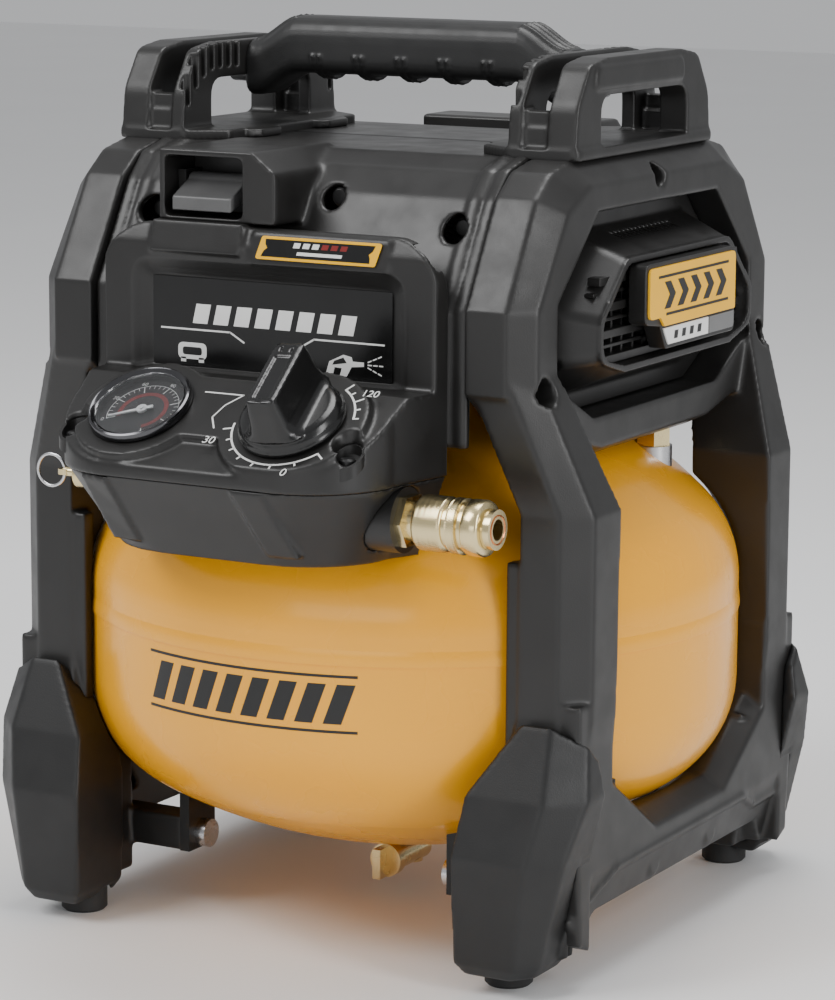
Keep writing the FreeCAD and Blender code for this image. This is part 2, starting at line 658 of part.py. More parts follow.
# ---------------------------------------------------------------- control panel
def plan_outline(width, back, front, corner, z):
    """Rounded outline of the panel seen from above, at one height."""
    side = width - 6
    a = V(-width, back, z)
    b = V(-side, front + corner, z)
    c = V(-side + corner, front, z)
    bend = corner * (1 - math.sqrt(0.5))
    mid_left = V(-side + bend, front + bend, z)
    points = [(a, b), (c, V(side - corner, front, z)), (V(side, front + corner, z), V(width, back, z))]
    mid_right = V(side - bend, front + bend, z)
    edges = [
        Part.makeLine(a, b),
        Part.Arc(b, mid_left, c).toShape(),
        Part.makeLine(c, points[1][1]),
        Part.Arc(points[1][1], mid_right, points[2][0]).toShape(),
        Part.makeLine(*points[2]),
        Part.makeLine(points[2][1], a),
    ]
    return Part.Wire(edges)


def deck_rise(y, depth=0.0):
    """Height of the sloped deck at y, sunk by depth along its normal."""
    slope = math.tan(math.radians(DECK_TILT))
    return DECK_Z + (y - DECK_Y) * slope - depth / math.cos(math.radians(DECK_TILT))


def panel_profile(inset):
    """Side view of the panel: forehead, label wall, sloped deck and front lip."""
    face = LABEL_Y - LABEL_DEPTH + inset
    low = PAD_H + inset
    shelf = deck_rise(SHELF_Y, low)
    return [(-COWL_Y, PANEL_TOP - inset), (-COWL_Y - 6, PANEL_TOP - inset), (face, PANEL_TOP - 8 - inset),
            (face, shelf), (SHELF_Y, shelf),
            (PANEL_FRONT + 7 + inset, deck_rise(PANEL_FRONT + 7 + inset, low)),
            (PANEL_FRONT + inset, SEAM_PANEL + 6), (PANEL_FRONT + inset, SEAM_PANEL), (-COWL_Y, SEAM_PANEL)]


def panel_block(inset, floor):
    profile = panel_profile(inset)
    profile[-1] = (-COWL_Y, floor)
    profile[-2] = (PANEL_FRONT + inset, floor)
    body = prism_x(profile, -PANEL_W - 1, PANEL_W + 1)
    outline = plan_outline(PANEL_W - inset, -COWL_Y, PANEL_FRONT + inset, PLAN_CORNER - inset, floor)
    return body.common(Part.Face(outline).extrude(V(0, 0, 200)))


def panel_front():
    """Front view of the panel, with large round top corners."""
    side, top, r = PANEL_W, PANEL_TOP, PANEL_CORNER
    bend = r * math.sqrt(0.5)
    y = PANEL_FRONT - 20
    points = [V(-side, y, 180), V(-side, y, top - r), V(-side + r, y, top), V(side - r, y, top),
              V(side, y, top - r), V(side, y, 180)]
    edges = [
        Part.makeLine(points[0], points[1]),
        Part.Arc(points[1], V(-side + r - bend, y, top - r + bend), points[2]).toShape(),
        Part.makeLine(points[2], points[3]),
        Part.Arc(points[3], V(side - r + bend, y, top - r + bend), points[4]).toShape(),
        Part.makeLine(points[4], points[5]),
        Part.makeLine(points[5], points[0]),
    ]
    return Part.Face(Part.Wire(edges)).extrude(V(0, 200, 0))


def dial_pad():
    """Raised pad under the gauge and the knob, in the deck's axes, its back standing off the shelf."""
    root = PAD_H + 9
    shape = box(-DIAL_X, DIAL_X, -14, 24, -root, 0)
    for sign, radius in ((-1, GAUGE_R + 7), (1, KNOB_R + 9.5)):
        shape = shape.fuse(rod((sign * DIAL_X, 0, -root), (0, 0, 1), radius, root))
    return shape.removeSplitter()


def control_panel():
    """Moulded panel that carries the label, gauge and regulator knob."""
    outer = union([panel_block(0, SEAM_PANEL), place_on_deck(dial_pad())])
    plan = Part.Face(plan_outline(PANEL_W, -COWL_Y, PANEL_FRONT, PLAN_CORNER, SEAM_PANEL))
    outer = outer.common(plan.extrude(V(0, 0, 200)))
    outer = outer.common(panel_front())
    regulator_room = rod((DIAL_X, 0, -40), (0, 0, 1), REGULATOR_R + GAP, 40 - PAD_H - PANEL_WALL)
    outer = outer.cut(place_on_deck(regulator_room))
    tray = box(-LABEL_W / 2 - 3, LABEL_W / 2 + 3, LABEL_Y - 3, LABEL_Y + 3, LABEL_LOW - 3, LABEL_HIGH + 3)
    shape = outer.cut(panel_block(PANEL_WALL, SEAM_PANEL - 1)).fuse(tray)
    shape = shape.cut(box(-LABEL_W / 2, LABEL_W / 2, LABEL_Y - LABEL_DEPTH - 1, LABEL_Y,
                          LABEL_LOW, LABEL_HIGH))
    shape = shape.cut(place_on_deck(rod((-DIAL_X, 0, -30), (0, 0, 1), CASE_R + RUN, 40)))
    shape = shape.cut(place_on_deck(rod((DIAL_X, 0, -30), (0, 0, 1), NECK_R + 1, 40)))
    for sign in (-1, 1):
        shape = shape.cut(rod((sign * (PANEL_W - 17), DECK_Y - 6, 232), (0, 0, 1), POCKET_R, 40))
    return max(shape.Solids, key=lambda s: s.Volume)


def apron_walls(inset, top, bottom):
    upper = plan_outline(PANEL_W - 1 - inset, -COWL_Y, PANEL_FRONT + 1 + inset, PLAN_CORNER - inset, top)
    lower = plan_outline(PANEL_W - 14 - inset, -COWL_Y, PANEL_FRONT + 22 + inset,
                         PLAN_CORNER - inset, bottom)
    return Part.makeLoft([upper, lower], True, True)


def panel_apron():
    """Lower skirt of the panel, drawn in towards its bottom edge."""
    shell = apron_walls(0, SEAM_PANEL, APRON_BOTTOM)
    shell = shell.cut(apron_walls(PANEL_WALL, SEAM_PANEL, APRON_BOTTOM))
    shell = shell.cut(tank_envelope(FRAME_GAP))
    shell = shell.cut(rod((40, COUPLER_Y, COUPLER_Z), (1, 0, 0), COLLAR_R, PANEL_W))
    shell = shell.cut(rod((-40, SAFETY_Y, SAFETY_Z), (-1, 0, 0), SAFETY_R, PANEL_W))
    return max(shell.Solids, key=lambda s: s.Volume)


def label_plate():
    return box(-LABEL_W / 2 + GAP, LABEL_W / 2 - GAP, LABEL_Y - 0.8, LABEL_Y,
               LABEL_LOW + GAP, LABEL_HIGH - GAP)


# ---------------------------------------------------------------- gauge
CASE_R = GAUGE_R - 2.0
CASE_DEPTH = 22.0
NIPPLE_R = 5.0
NIPPLE_END = 36.0
FACE_R = GAUGE_R - 3.2


def gauge_case():
    body = tube((-DIAL_X, 0, 2 - CASE_DEPTH), (0, 0, 1), CASE_R, CASE_R - 1.2, CASE_DEPTH + 0.5 - 2)
    back = rod((-DIAL_X, 0, -CASE_DEPTH), (0, 0, 1), CASE_R, 2)
    nipple = rod((-DIAL_X, 0, -NIPPLE_END), (0, 0, 1), NIPPLE_R, NIPPLE_END - CASE_DEPTH)
    return place_on_deck(union([body, back, nipple]))


def gauge_bezel():
    ring = tube((-DIAL_X, 0, 0.5), (0, 0, 1), GAUGE_R, FACE_R, 3.5)
    return place_on_deck(ring)


def gauge_dial():
    dial = tube((-DIAL_X, 0, -3.0), (0, 0, 1), FACE_R, 1.0 + RUN, 0.8)
    return place_on_deck(dial)


NEEDLE_REST = 205.0


def gauge_needle():
    """Pointer on its arbor, resting at the low end of the scale."""
    arbor = rod((-DIAL_X, 0, -4.5), (0, 0, 1), 1.0, 4.5)
    hub = rod((-DIAL_X, 0, -1.6), (0, 0, 1), 2.4, 1.0)
    tip = FACE_R - 4.8
    blade = prism_z([(-5, -0.9), (tip, -0.35), (tip, 0.35), (-5, 0.9)], -1.4, -0.8)
    blade.rotate(V(0, 0, 0), V(0, 0, 1), NEEDLE_REST)
    blade.translate(V(-DIAL_X, 0, 0))
    return place_on_deck(union([arbor, hub, blade]))


def gauge_lens():
    return place_on_deck(rod((-DIAL_X, 0, 1.6), (0, 0, 1), FACE_R, 1.2))


# ---------------------------------------------------------------- regulator and manifold
REGULATOR_R = 15.0
REGULATOR_END = 34.0
NECK_R = 7.0
STEM_R = 4.0
STEM_END = 24.0
KNOB_LEAN = 6.0


def regulator_body():
    top = -PAD_H - PANEL_WALL
    body = rod((DIAL_X, 0, -REGULATOR_END), (0, 0, 1), REGULATOR_R, REGULATOR_END + top)
    neck = rod((DIAL_X, 0, top), (0, 0, 1), NECK_R, -1 - top)
    bore = rod((DIAL_X, 0, -STEM_END - 2), (0, 0, 1), STEM_R + RUN, 40)
    return place_on_deck(union([body, neck]).cut(bore))


def regulator_knob():
    """Round base with a tall grip bar and a screwed stem."""
    base = Part.makeCone(KNOB_R, KNOB_R - 1.5, 7.5, V(DIAL_X, 0, 0.6), V(0, 0, 1))
    grip = loft([
        [(DIAL_X - 9, -21, 8.1), (DIAL_X + 9, -21, 8.1), (DIAL_X + 9, 21, 8.1), (DIAL_X - 9, 21, 8.1)],
        [(DIAL_X - 6, -19, KNOB_H), (DIAL_X + 6, -19, KNOB_H),
         (DIAL_X + 6, 19, KNOB_H), (DIAL_X - 6, 19, KNOB_H)]])
    stem = rod((DIAL_X, 0, -STEM_END), (0, 0, 1), STEM_R, STEM_END + 2)
    knob = union([base, grip, stem])
    knob.rotate(V(DIAL_X, 0, 0), V(0, 0, 1), KNOB_LEAN)
    return place_on_deck(knob)


MANIFOLD_X = PANEL_W - 32.0
MANIFOLD_LOW = 201.0
MANIFOLD_TOP = 220.0
PIPE_R = PORT_BORE - 0.1


def air_manifold():
    """Block that joins the tank outlet, gauge, regulator, safety valve and coupler."""
    block = box(-MANIFOLD_X, MANIFOLD_X, SAFETY_Y - 8, OUTLET_Y + 7, MANIFOLD_LOW, MANIFOLD_TOP)
    block = block.cut(place_on_deck(rod((DIAL_X, 0, -REGULATOR_END), (0, 0, 1), REGULATOR_R, 40)))
    block = block.cut(place_on_deck(rod((-DIAL_X, 0, -NIPPLE_END), (0, 0, 1), NIPPLE_R, 60)))
    block = block.cut(rod((MANIFOLD_X, COUPLER_Y, COUPLER_Z), (-1, 0, 0), TAIL_R, 12))
    block = block.cut(rod((-MANIFOLD_X, SAFETY_Y, SAFETY_Z), (1, 0, 0), SAFETY_THREAD_R, 9))
    block = block.cut(rod((OUTLET_X, OUTLET_Y, MANIFOLD_LOW - 1), (0, 0, 1), PIPE_R, 9))
    return max(block.cut(tank_envelope(FRAME_GAP)).Solids, key=lambda s: s.Volume)


def supply_tube():
    """Short pipe from the tank's front port up to the manifold."""
    low = dome_height(math.hypot(OUTLET_X, OUTLET_Y)) - 8
    return rod((OUTLET_X, OUTLET_Y, low), (0, 0, 1), PIPE_R, MANIFOLD_LOW + 8 - low)


# ---------------------------------------------------------------- quick coupler
HEX_START = PANEL_W - 6.0
SLEEVE_START = HEX_START + 8.0
SLEEVE_END = SLEEVE_START + 31.0
COUPLER_END = SLEEVE_END + 4.0
TAIL_R = 6.5
BARREL_R = SLEEVE_R - 3.5


def coupler_collar():
    """Black moulded collar where the coupler leaves the apron."""
    start = MANIFOLD_X + 8
    return tube((start, COUPLER_Y, COUPLER_Z), (1, 0, 0), COLLAR_R, TAIL_R, HEX_START - start)


def coupler_body():
    """Brass socket: threaded tail, hexagon, barrel and plug bore."""
    axis = (1, 0, 0)
    root = MANIFOLD_X - 12
    tail = rod((root, COUPLER_Y, COUPLER_Z), axis, TAIL_R, HEX_START - root)
    hexagon = prism_x([(COUPLER_Y + SLEEVE_R * math.cos(math.radians(60 * k)),
                        COUPLER_Z + SLEEVE_R * math.sin(math.radians(60 * k))) for k in range(6)],
                      HEX_START, SLEEVE_START - SLEEVE_TRAVEL - 0.5)
    barrel = rod((HEX_START, COUPLER_Y, COUPLER_Z), axis, BARREL_R, COUPLER_END - HEX_START)
    body = union([tail, hexagon, barrel])
    body = body.cut(rod((COUPLER_END - 28, COUPLER_Y, COUPLER_Z), axis, COUPLER_BORE, 29))
    return body.cut(rod((root - 1, COUPLER_Y, COUPLER_Z), axis, 3.0, 60))


def coupler_sleeve():
    """Knurled sleeve that slides back to free the plug."""
    axis = (1, 0, 0)
    sleeve = tube((SLEEVE_START, COUPLER_Y, COUPLER_Z), axis, SLEEVE_R, BARREL_R + RUN,
                  SLEEVE_END - SLEEVE_START)
    for x in (SLEEVE_START + 8, SLEEVE_END - 9):
        sleeve = sleeve.cut(tube((x, COUPLER_Y, COUPLER_Z), axis, SLEEVE_R + 1, SLEEVE_R - 1, 2.2))
    return sleeve


# ---------------------------------------------------------------- safety valve
RING_R = 7.0
RING_WIRE = 0.7
EYE_X = -PANEL_W


def safety_valve_body():
    root = 9 - MANIFOLD_X
    body = rod((root, SAFETY_Y, SAFETY_Z), (-1, 0, 0), SAFETY_THREAD_R, 12)
    cap = rod((-MANIFOLD_X, SAFETY_Y, SAFETY_Z), (-1, 0, 0), SAFETY_R, 24)
    return union([body, cap]).cut(rod((root - 4, SAFETY_Y, SAFETY_Z), (-1, 0, 0), 2.0 + RUN, 40))


def safety_valve_stem():
    start = 3 - MANIFOLD_X
    stem = rod((start, SAFETY_Y, SAFETY_Z), (-1, 0, 0), 2.0, start - EYE_X)
    eye = rod((EYE_X, SAFETY_Y, SAFETY_Z - 1.2), (0, 0, 1), 3.0, 2.4)
    return union([stem, eye]).cut(rod((EYE_X, SAFETY_Y, SAFETY_Z - 3), (0, 0, 1), 1.1, 6))


def safety_pull_ring():
    centre = V(EYE_X - RING_R, SAFETY_Y, SAFETY_Z)
    return Part.makeTorus(RING_R, RING_WIRE, centre, V(0, 1, 0))


# ---------------------------------------------------------------- power switch
def switch_body():
    """Switch block with two ears that carry the lever."""
    left = SWITCH_X - SWITCH_W / 2 + GAP
    right = SWITCH_X + SWITCH_W / 2 - GAP
    low, high = HOOD_LOW + 2 + GAP, HOOD_HIGH - 3 - GAP
    block = box(left, right, SWITCH_Y + 8, SWITCH_Y + 30, low, high)
    ears = [box(left, left + 4, SWITCH_Y - 5, SWITCH_Y + 8, SWITCH_Z - 6, SWITCH_Z + 6),
            box(right - 4, right, SWITCH_Y - 5, SWITCH_Y + 8, SWITCH_Z - 6, SWITCH_Z + 6)]
    body = union([block] + ears)
    return body.cut(rod((left - 1, SWITCH_Y, SWITCH_Z), (1, 0, 0), 2.5 + RUN, SWITCH_W + 2))


def switch_lever():
    """Paddle that flips up for on; stored down."""
    left = SWITCH_X - SWITCH_W / 2 + GAP
    right = SWITCH_X + SWITCH_W / 2 - GAP
    pin = rod((left + 0.5, SWITCH_Y, SWITCH_Z), (1, 0, 0), 2.5, right - left - 1)
    hub = rod((left + 4.3, SWITCH_Y, SWITCH_Z), (1, 0, 0), 5.0, right - left - 8.6)
    paddle = prism_x([(SWITCH_Y, SWITCH_Z + 4.5), (SWITCH_Y - 17, SWITCH_Z - 4.5),
                      (SWITCH_Y - 17, SWITCH_Z - 10.5),
                      (SWITCH_Y - 4, SWITCH_Z - 6)], left + 4.3, right - 4.3)
    return union([pin, hub, paddle])


# ---------------------------------------------------------------- pump
CASE_IN_R = 27.0
STATOR_R = 37.0
STATOR_X0, STATOR_X1 = -62.0, -22.0
BEARINGS = ((-19.0, -12.0), (8.0, 15.0))


def crankcase():
    """Cast case: crank chamber, bearing sleeve, motor flange and feet on the tank's top."""
    chamber = rod((16, 0, CRANK_Z), (1, 0, 0), CASE_IN_R + 4, 38)
    chamber = chamber.cut(rod((20, 0, CRANK_Z), (1, 0, 0), CASE_IN_R, 35))
    sleeve = rod((STATOR_X1, 0, CRANK_Z), (1, 0, 0), 14.0, 16 - STATOR_X1)
    flange = rod((STATOR_X1, 0, CRANK_Z), (1, 0, 0), STATOR_R, 5)
    neck = box(CYLINDER_X - 20, CYLINDER_X + 18, -32, -20, CRANK_Z - 26, CRANK_Z + 26)
    foot = box(-8, 50, -24, 24, dome_height(0) + 2, CRANK_Z - 22)
    shape = union([chamber, sleeve, flange, neck, foot])
    shape = shape.cut(rod((20, 0, CRANK_Z), (1, 0, 0), CASE_IN_R, 31))
    shape = shape.cut(rod((CYLINDER_X, 0, CRANK_Z), (0, -1, 0), 14.0, 40))
    for x0, x1 in BEARINGS:
        shape = shape.cut(rod((x0, 0, CRANK_Z), (1, 0, 0), 11.0, x1 - x0))
    shape = shape.cut(rod((STATOR_X1 - 1, 0, CRANK_Z), (1, 0, 0), SHAFT_R + 1, 50))
    return shape.cut(tank_envelope(FRAME_GAP))


def tank_saddle():
    """Rubber-lined saddle that seats the crankcase on the tank's dome."""
    block = box(-8, 50, -24, 24, dome_height(60) - 2, dome_height(0) + 2)
    return block.cut(tank_envelope(0))


def crank_bearings():
    races = [tube((x0, 0, CRANK_Z), (1, 0, 0), 11.0, SHAFT_R + RUN, x1 - x0) for x0, x1 in BEARINGS]
    return Part.Compound(races)


def crankshaft():
    """Shaft, counterweighted web and crankpin, stored at bottom dead centre."""
    shaft = rod((-88, 0, CRANK_Z), (1, 0, 0), SHAFT_R, 110)
    web = rod((22, 0, CRANK_Z), (1, 0, 0), 21.0, 7)
    web = web.cut(box(21, 30, 4, 30, CRANK_Z + 9, CRANK_Z + 30))
    web = web.cut(box(21, 30, 4, 30, CRANK_Z - 30, CRANK_Z - 9))
    pin = rod((29, STROKE / 2, CRANK_Z), (1, 0, 0), PIN_R, 14)
    return union([shaft, web, pin])


def rod_big_end():
    return tube((30.5, STROKE / 2, CRANK_Z), (1, 0, 0), 9.0, PIN_R + RUN, 11)


def piston():
    crown = rod((CYLINDER_X, DECK_END + STROKE + 1 + 14, CRANK_Z), (0, -1, 0), BORE_R - RUN, 14)
    return crown.cut(rod((CYLINDER_X, DECK_END + STROKE + 20, CRANK_Z), (0, -1, 0), BORE_R - 4, 13))


def connecting_rod():
    """Shank of the rod, fixed to the piston and stopping short of the crank's sweep."""
    root = DECK_END + STROKE + 7
    return box(CYLINDER_X - 3, CYLINDER_X + 3, root, -STROKE / 2 - 9.0 - 4, CRANK_Z - 6, CRANK_Z + 6)


def pump_cylinder():
    """Finned cylinder, its bore pointing to the front."""
    start = -32.0
    length = start - DECK_END
    barrel = rod((CYLINDER_X, start, CRANK_Z), (0, -1, 0), BORE_R + 3, length)
    fins = [rod((CYLINDER_X, start - 6 - 7 * k, CRANK_Z), (0, -1, 0), BORE_R + 9, 2.5) for k in range(6)]
    shape = union([barrel] + fins)
    return shape.cut(rod((CYLINDER_X, start + 1, CRANK_Z), (0, -1, 0), BORE_R, length + 2))


def valve_plate():
    plate = box(CYLINDER_X - HEAD_W, CYLINDER_X + HEAD_W, DECK_END - 4, DECK_END,
                CRANK_Z - HEAD_H, CRANK_Z + HEAD_H)
    for dx, dz in ((-9, 0), (9, 0)):
        plate = plate.cut(rod((CYLINDER_X + dx, DECK_END + 1, CRANK_Z + dz), (0, -1, 0), 4.0, 6))
    return plate


def cylinder_head():
    top = DECK_END - 4
    head = box(CYLINDER_X - HEAD_W, CYLINDER_X + HEAD_W, top - HEAD_DEPTH, top,
               CRANK_Z - HEAD_H, CRANK_Z + HEAD_H)
    for k in range(6):
        x = CYLINDER_X - 27 + 10 * k
        head = head.cut(box(x, x + 4, top - HEAD_DEPTH - 1, top - 9,
                            CRANK_Z - HEAD_H - 4, CRANK_Z + HEAD_H + 4))
    head = head.common(prism_x(cowl_outline(COWL_WALL + 1), -RING_IN, RING_IN))
    return head.cut(rod((CYLINDER_X + HEAD_W - 11, top - 4, CRANK_Z), (1, 0, 0), 3.0, 12))


def motor_stator():
    core = tube((STATOR_X0, 0, CRANK_Z), (1, 0, 0), STATOR_R, 21.5, STATOR_X1 - STATOR_X0)
    for k in range(6):
        angle = math.radians(60 * k + 30)
        y, z = 29 * math.cos(angle), CRANK_Z + 29 * math.sin(angle)
        core = core.cut(rod((STATOR_X0 - 1, y, z), (1, 0, 0), 3.5, STATOR_X1 - STATOR_X0 + 2))
    return core


def motor_rotor():
    return tube((STATOR_X0 + 2, 0, CRANK_Z), (1, 0, 0), 20.8, SHAFT_R, STATOR_X1 - STATOR_X0 - 4)


def cooling_fan():
    """Axial fan on the end of the shaft, blowing over the motor."""
    hub = tube((-86, 0, CRANK_Z), (1, 0, 0), 10.0, SHAFT_R, 12)
    blades = []
    for k in range(7):
        blade = box(-84, -76, -1.2, 1.2, CRANK_Z + 9, CRANK_Z + 36)
        blade.rotate(V(-80, 0, CRANK_Z), V(0, 0, 1), 32)
        blade.rotate(V(0, 0, CRANK_Z), V(1, 0, 0), 360 / 7 * k)
        blades.append(blade)
    return union([hub] + blades)


def check_valve():
    z = dome_height(math.hypot(CHECK_X, CHECK_Y))
    body = rod((CHECK_X, CHECK_Y, z - 10), (0, 0, 1), 5.0, 14)
    nut = prism_z([(CHECK_X + 8.5 * math.cos(math.radians(60 * k)),
                    CHECK_Y + 8.5 * math.sin(math.radians(60 * k)))
                   for k in range(6)], z + 3, z + 12)
    return union([body, nut]).cut(rod((CHECK_X, CHECK_Y, z + 6), (0, 0, 1), 3.0, 20))


def discharge_tube():
    """Hot-air pipe from the cylinder head round the pump to the check valve."""
    z = dome_height(math.hypot(CHECK_X, CHECK_Y))
    head_y = DECK_END - 8
    side = RING_IN - 11
    return pipe([(CYLINDER_X + HEAD_W - 9, head_y, CRANK_Z), (side - 4, head_y, CRANK_Z),
                 (side, -40, 262), (side, 30, z + 27),
                 (CHECK_X, CHECK_Y, z + 23), (CHECK_X, CHECK_Y, z + 6)], 3.0)


# ---------------------------------------------------------------- build
right_frame = side_frame()
front_right_boot = boot()
right_grille = grille()
right_arch = arch()

SHAPES = {
    "tank_upper_shell": tank_upper_shell(),
    "tank_lower_shell": tank_lower_shell(),
    "tank_ports": tank_ports(),
    "tank_brackets": tank_brackets(),
    "tank_bolts": tank_bolts(),
    "drain_valve_body": drain_valve_body(),
    "drain_valve_knob": drain_valve_knob(),
    "right_side_frame": right_frame,
    "left_side_frame": flip_x(right_frame),
    "front_right_boot": front_right_boot,
    "rear_right_boot": flip_y(front_right_boot),
    "front_left_boot": flip_x(front_right_boot),
    "rear_left_boot": flip_x(flip_y(front_right_boot)),
    "rubber_feet": rubber_feet(),
    "frame_screws": frame_screws(),
    "right_grille": right_grille,
    "left_grille": flip_x(right_grille),
    "grille_badges": grille_badges(),
    "front_cowl": front_cowl(),
    "rear_cowl": rear_cowl(),
    "battery_receiver": battery_receiver(),
    "battery_terminals": battery_terminals(),
    "controller_board": controller_board(),
    "right_handle_arch": right_arch,
    "left_handle_arch": flip_x(right_arch),
    "handle_bar": handle_bar(),
    "handle_grip": handle_grip(),
    "control_panel": control_panel(),
    "panel_apron": panel_apron(),
    "label_plate": label_plate(),
    "gauge_case": gauge_case(),
    "gauge_bezel": gauge_bezel(),
    "gauge_dial": gauge_dial(),
    "gauge_needle": gauge_needle(),
    "gauge_lens": gauge_lens(),
    "regulator_body": regulator_body(),
    "regulator_knob": regulator_knob(),
    "air_manifold": air_manifold(),
    "coupler_collar": coupler_collar(),
    "coupler_body": coupler_body(),
    "coupler_sleeve": coupler_sleeve(),
    "safety_valve_body": safety_valve_body(),
    "safety_valve_stem": safety_valve_stem(),
    "safety_pull_ring": safety_pull_ring(),
    "switch_body": switch_body(),
    "switch_lever": switch_lever(),
    "crankcase": crankcase(),
    "crank_bearings": crank_bearings(),
    "crankshaft": crankshaft(),
    "rod_big_end": rod_big_end(),
    "piston": piston(),
    "connecting_rod": connecting_rod(),
    "pump_cylinder": pump_cylinder(),
    "valve_plate": valve_plate(),
    "cylinder_head": cylinder_head(),
    "motor_stator": motor_stator(),
    "motor_rotor": motor_rotor(),
    "cooling_fan": cooling_fan(),
    "check_valve": check_valve(),
    "air_pipes": Part.Compound([discharge_tube(), supply_tube()]),
}

os.makedirs("parts", exist_ok=True)
for name, shape in SHAPES.items():
    shape.exportStep(f"parts/{name}.step")
    print(name, len(shape.Solids), "solids", "valid" if shape.isValid() else "INVALID",
          round(shape.Volume / 1000, 1), "cm3")
print(len(SHAPES), "nodes")
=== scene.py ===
"""Looks of the cordless pancake air compressor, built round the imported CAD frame."""
import bpy
import bmesh
import json
import math
from mathutils import Matrix, Vector, noise

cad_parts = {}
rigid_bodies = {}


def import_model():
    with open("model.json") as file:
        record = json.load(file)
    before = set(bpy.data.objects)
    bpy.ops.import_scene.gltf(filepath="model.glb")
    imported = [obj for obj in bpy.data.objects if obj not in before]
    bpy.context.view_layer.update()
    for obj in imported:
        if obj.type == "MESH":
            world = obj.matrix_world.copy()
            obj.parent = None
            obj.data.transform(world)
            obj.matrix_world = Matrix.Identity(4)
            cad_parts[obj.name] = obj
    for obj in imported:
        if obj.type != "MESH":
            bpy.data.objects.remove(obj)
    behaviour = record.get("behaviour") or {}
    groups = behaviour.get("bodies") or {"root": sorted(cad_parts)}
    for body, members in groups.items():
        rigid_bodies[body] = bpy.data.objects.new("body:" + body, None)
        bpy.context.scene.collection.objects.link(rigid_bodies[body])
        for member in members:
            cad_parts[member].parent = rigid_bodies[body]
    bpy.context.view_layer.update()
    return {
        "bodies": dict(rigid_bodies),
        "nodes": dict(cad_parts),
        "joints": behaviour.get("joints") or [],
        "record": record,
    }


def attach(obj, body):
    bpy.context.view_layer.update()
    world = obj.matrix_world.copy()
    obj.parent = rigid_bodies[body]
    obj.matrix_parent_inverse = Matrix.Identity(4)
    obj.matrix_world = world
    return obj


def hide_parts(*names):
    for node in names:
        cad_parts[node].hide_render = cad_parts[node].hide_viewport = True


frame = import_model()
NODES = frame["nodes"]
SLOT_OF = {name: node.data.materials[0].name for name, node in NODES.items()}
MM = 0.001

# ------------------------------------------------------------------ sizes shared with the CAD frame (mm)
TANK_R = 150.0
DECK_TILT, DECK_Y, DECK_Z, DIAL_X = 32.5, -170.0, 246.0, 37.5
GRIP_TOP, GRIP_H = 403.5, 27.0
COUPLER_Y, COUPLER_Z = -146.0, 205.0
SLEEVE_START, SEAT_X = 86.0, 120.9
SCREW_Y, SCREW_Z, SCREW_X = -92.0, 322.0, 76.0
LABEL_FACE_Y = -126.3
DECAL_Y, DECAL_Z = -131.9, 306.0
PRINT_PROUD = 0.12
DIAL_FACE = -2.2
SCALE_R = 26.6
DECK = Matrix.Translation((0, DECK_Y, DECK_Z)) @ Matrix.Rotation(math.radians(DECK_TILT), 4, "X")


# ------------------------------------------------------------------ materials
def socket(node, name, value):
    node.inputs[name].default_value = value


def finish_of(slot, colour, rough, tint=0.18, tint_scale=26.0, grain=0.0, grain_scale=1500.0, spread=0.06,
              stretch=(1, 1, 1), **shader):
    """Procedural material: colour drifts by tint, roughness by spread, under a fine grain."""
    made = bpy.data.materials.new(slot + "_look")
    made.use_nodes = True
    tree = made.node_tree
    link = tree.links.new
    principled = tree.nodes["Principled BSDF"]
    coordinates = tree.nodes.new("ShaderNodeTexCoord")
    mapping = tree.nodes.new("ShaderNodeMapping")
    socket(mapping, "Scale", stretch)
    link(coordinates.outputs["Object"], mapping.inputs["Vector"])
    broad = tree.nodes.new("ShaderNodeTexNoise")
    socket(broad, "Scale", tint_scale)
    socket(broad, "Detail", 5.0)
    link(mapping.outputs["Vector"], broad.inputs["Vector"])
    ramp = tree.nodes.new("ShaderNodeValToRGB")
    ramp.color_ramp.elements[0].position = 0.3
    ramp.color_ramp.elements[1].position = 0.7
    ramp.color_ramp.elements[0].color = [c * (1 - tint) for c in colour] + [1]
    ramp.color_ramp.elements[1].color = [min(1.0, c * (1 + tint)) for c in colour] + [1]
    link(broad.outputs["Fac"], ramp.inputs["Fac"])
    link(ramp.outputs["Color"], principled.inputs["Base Color"])
    smudge = tree.nodes.new("ShaderNodeTexNoise")
    socket(smudge, "Scale", tint_scale * 2.3)
    socket(smudge, "Detail", 3.0)
    link(mapping.outputs["Vector"], smudge.inputs["Vector"])
    ranged = tree.nodes.new("ShaderNodeMapRange")
    socket(ranged, "From Min", 0.3)
    socket(ranged, "From Max", 0.7)
    socket(ranged, "To Min", max(0.02, rough - spread))
    socket(ranged, "To Max", min(1.0, rough + spread))
    link(smudge.outputs["Fac"], ranged.inputs["Value"])
    link(ranged.outputs["Result"], principled.inputs["Roughness"])
    if grain:
        fine = tree.nodes.new("ShaderNodeTexNoise")
        socket(fine, "Scale", grain_scale)
        socket(fine, "Detail", 2.0)
        link(mapping.outputs["Vector"], fine.inputs["Vector"])
        bump = tree.nodes.new("ShaderNodeBump")
        socket(bump, "Strength", grain)
        socket(bump, "Distance", 0.0002)
        link(fine.outputs["Fac"], bump.inputs["Height"])
        link(bump.outputs["Normal"], principled.inputs["Normal"])
    for name, value in shader.items():
        socket(principled, name.replace("_", " "), value)
    return made


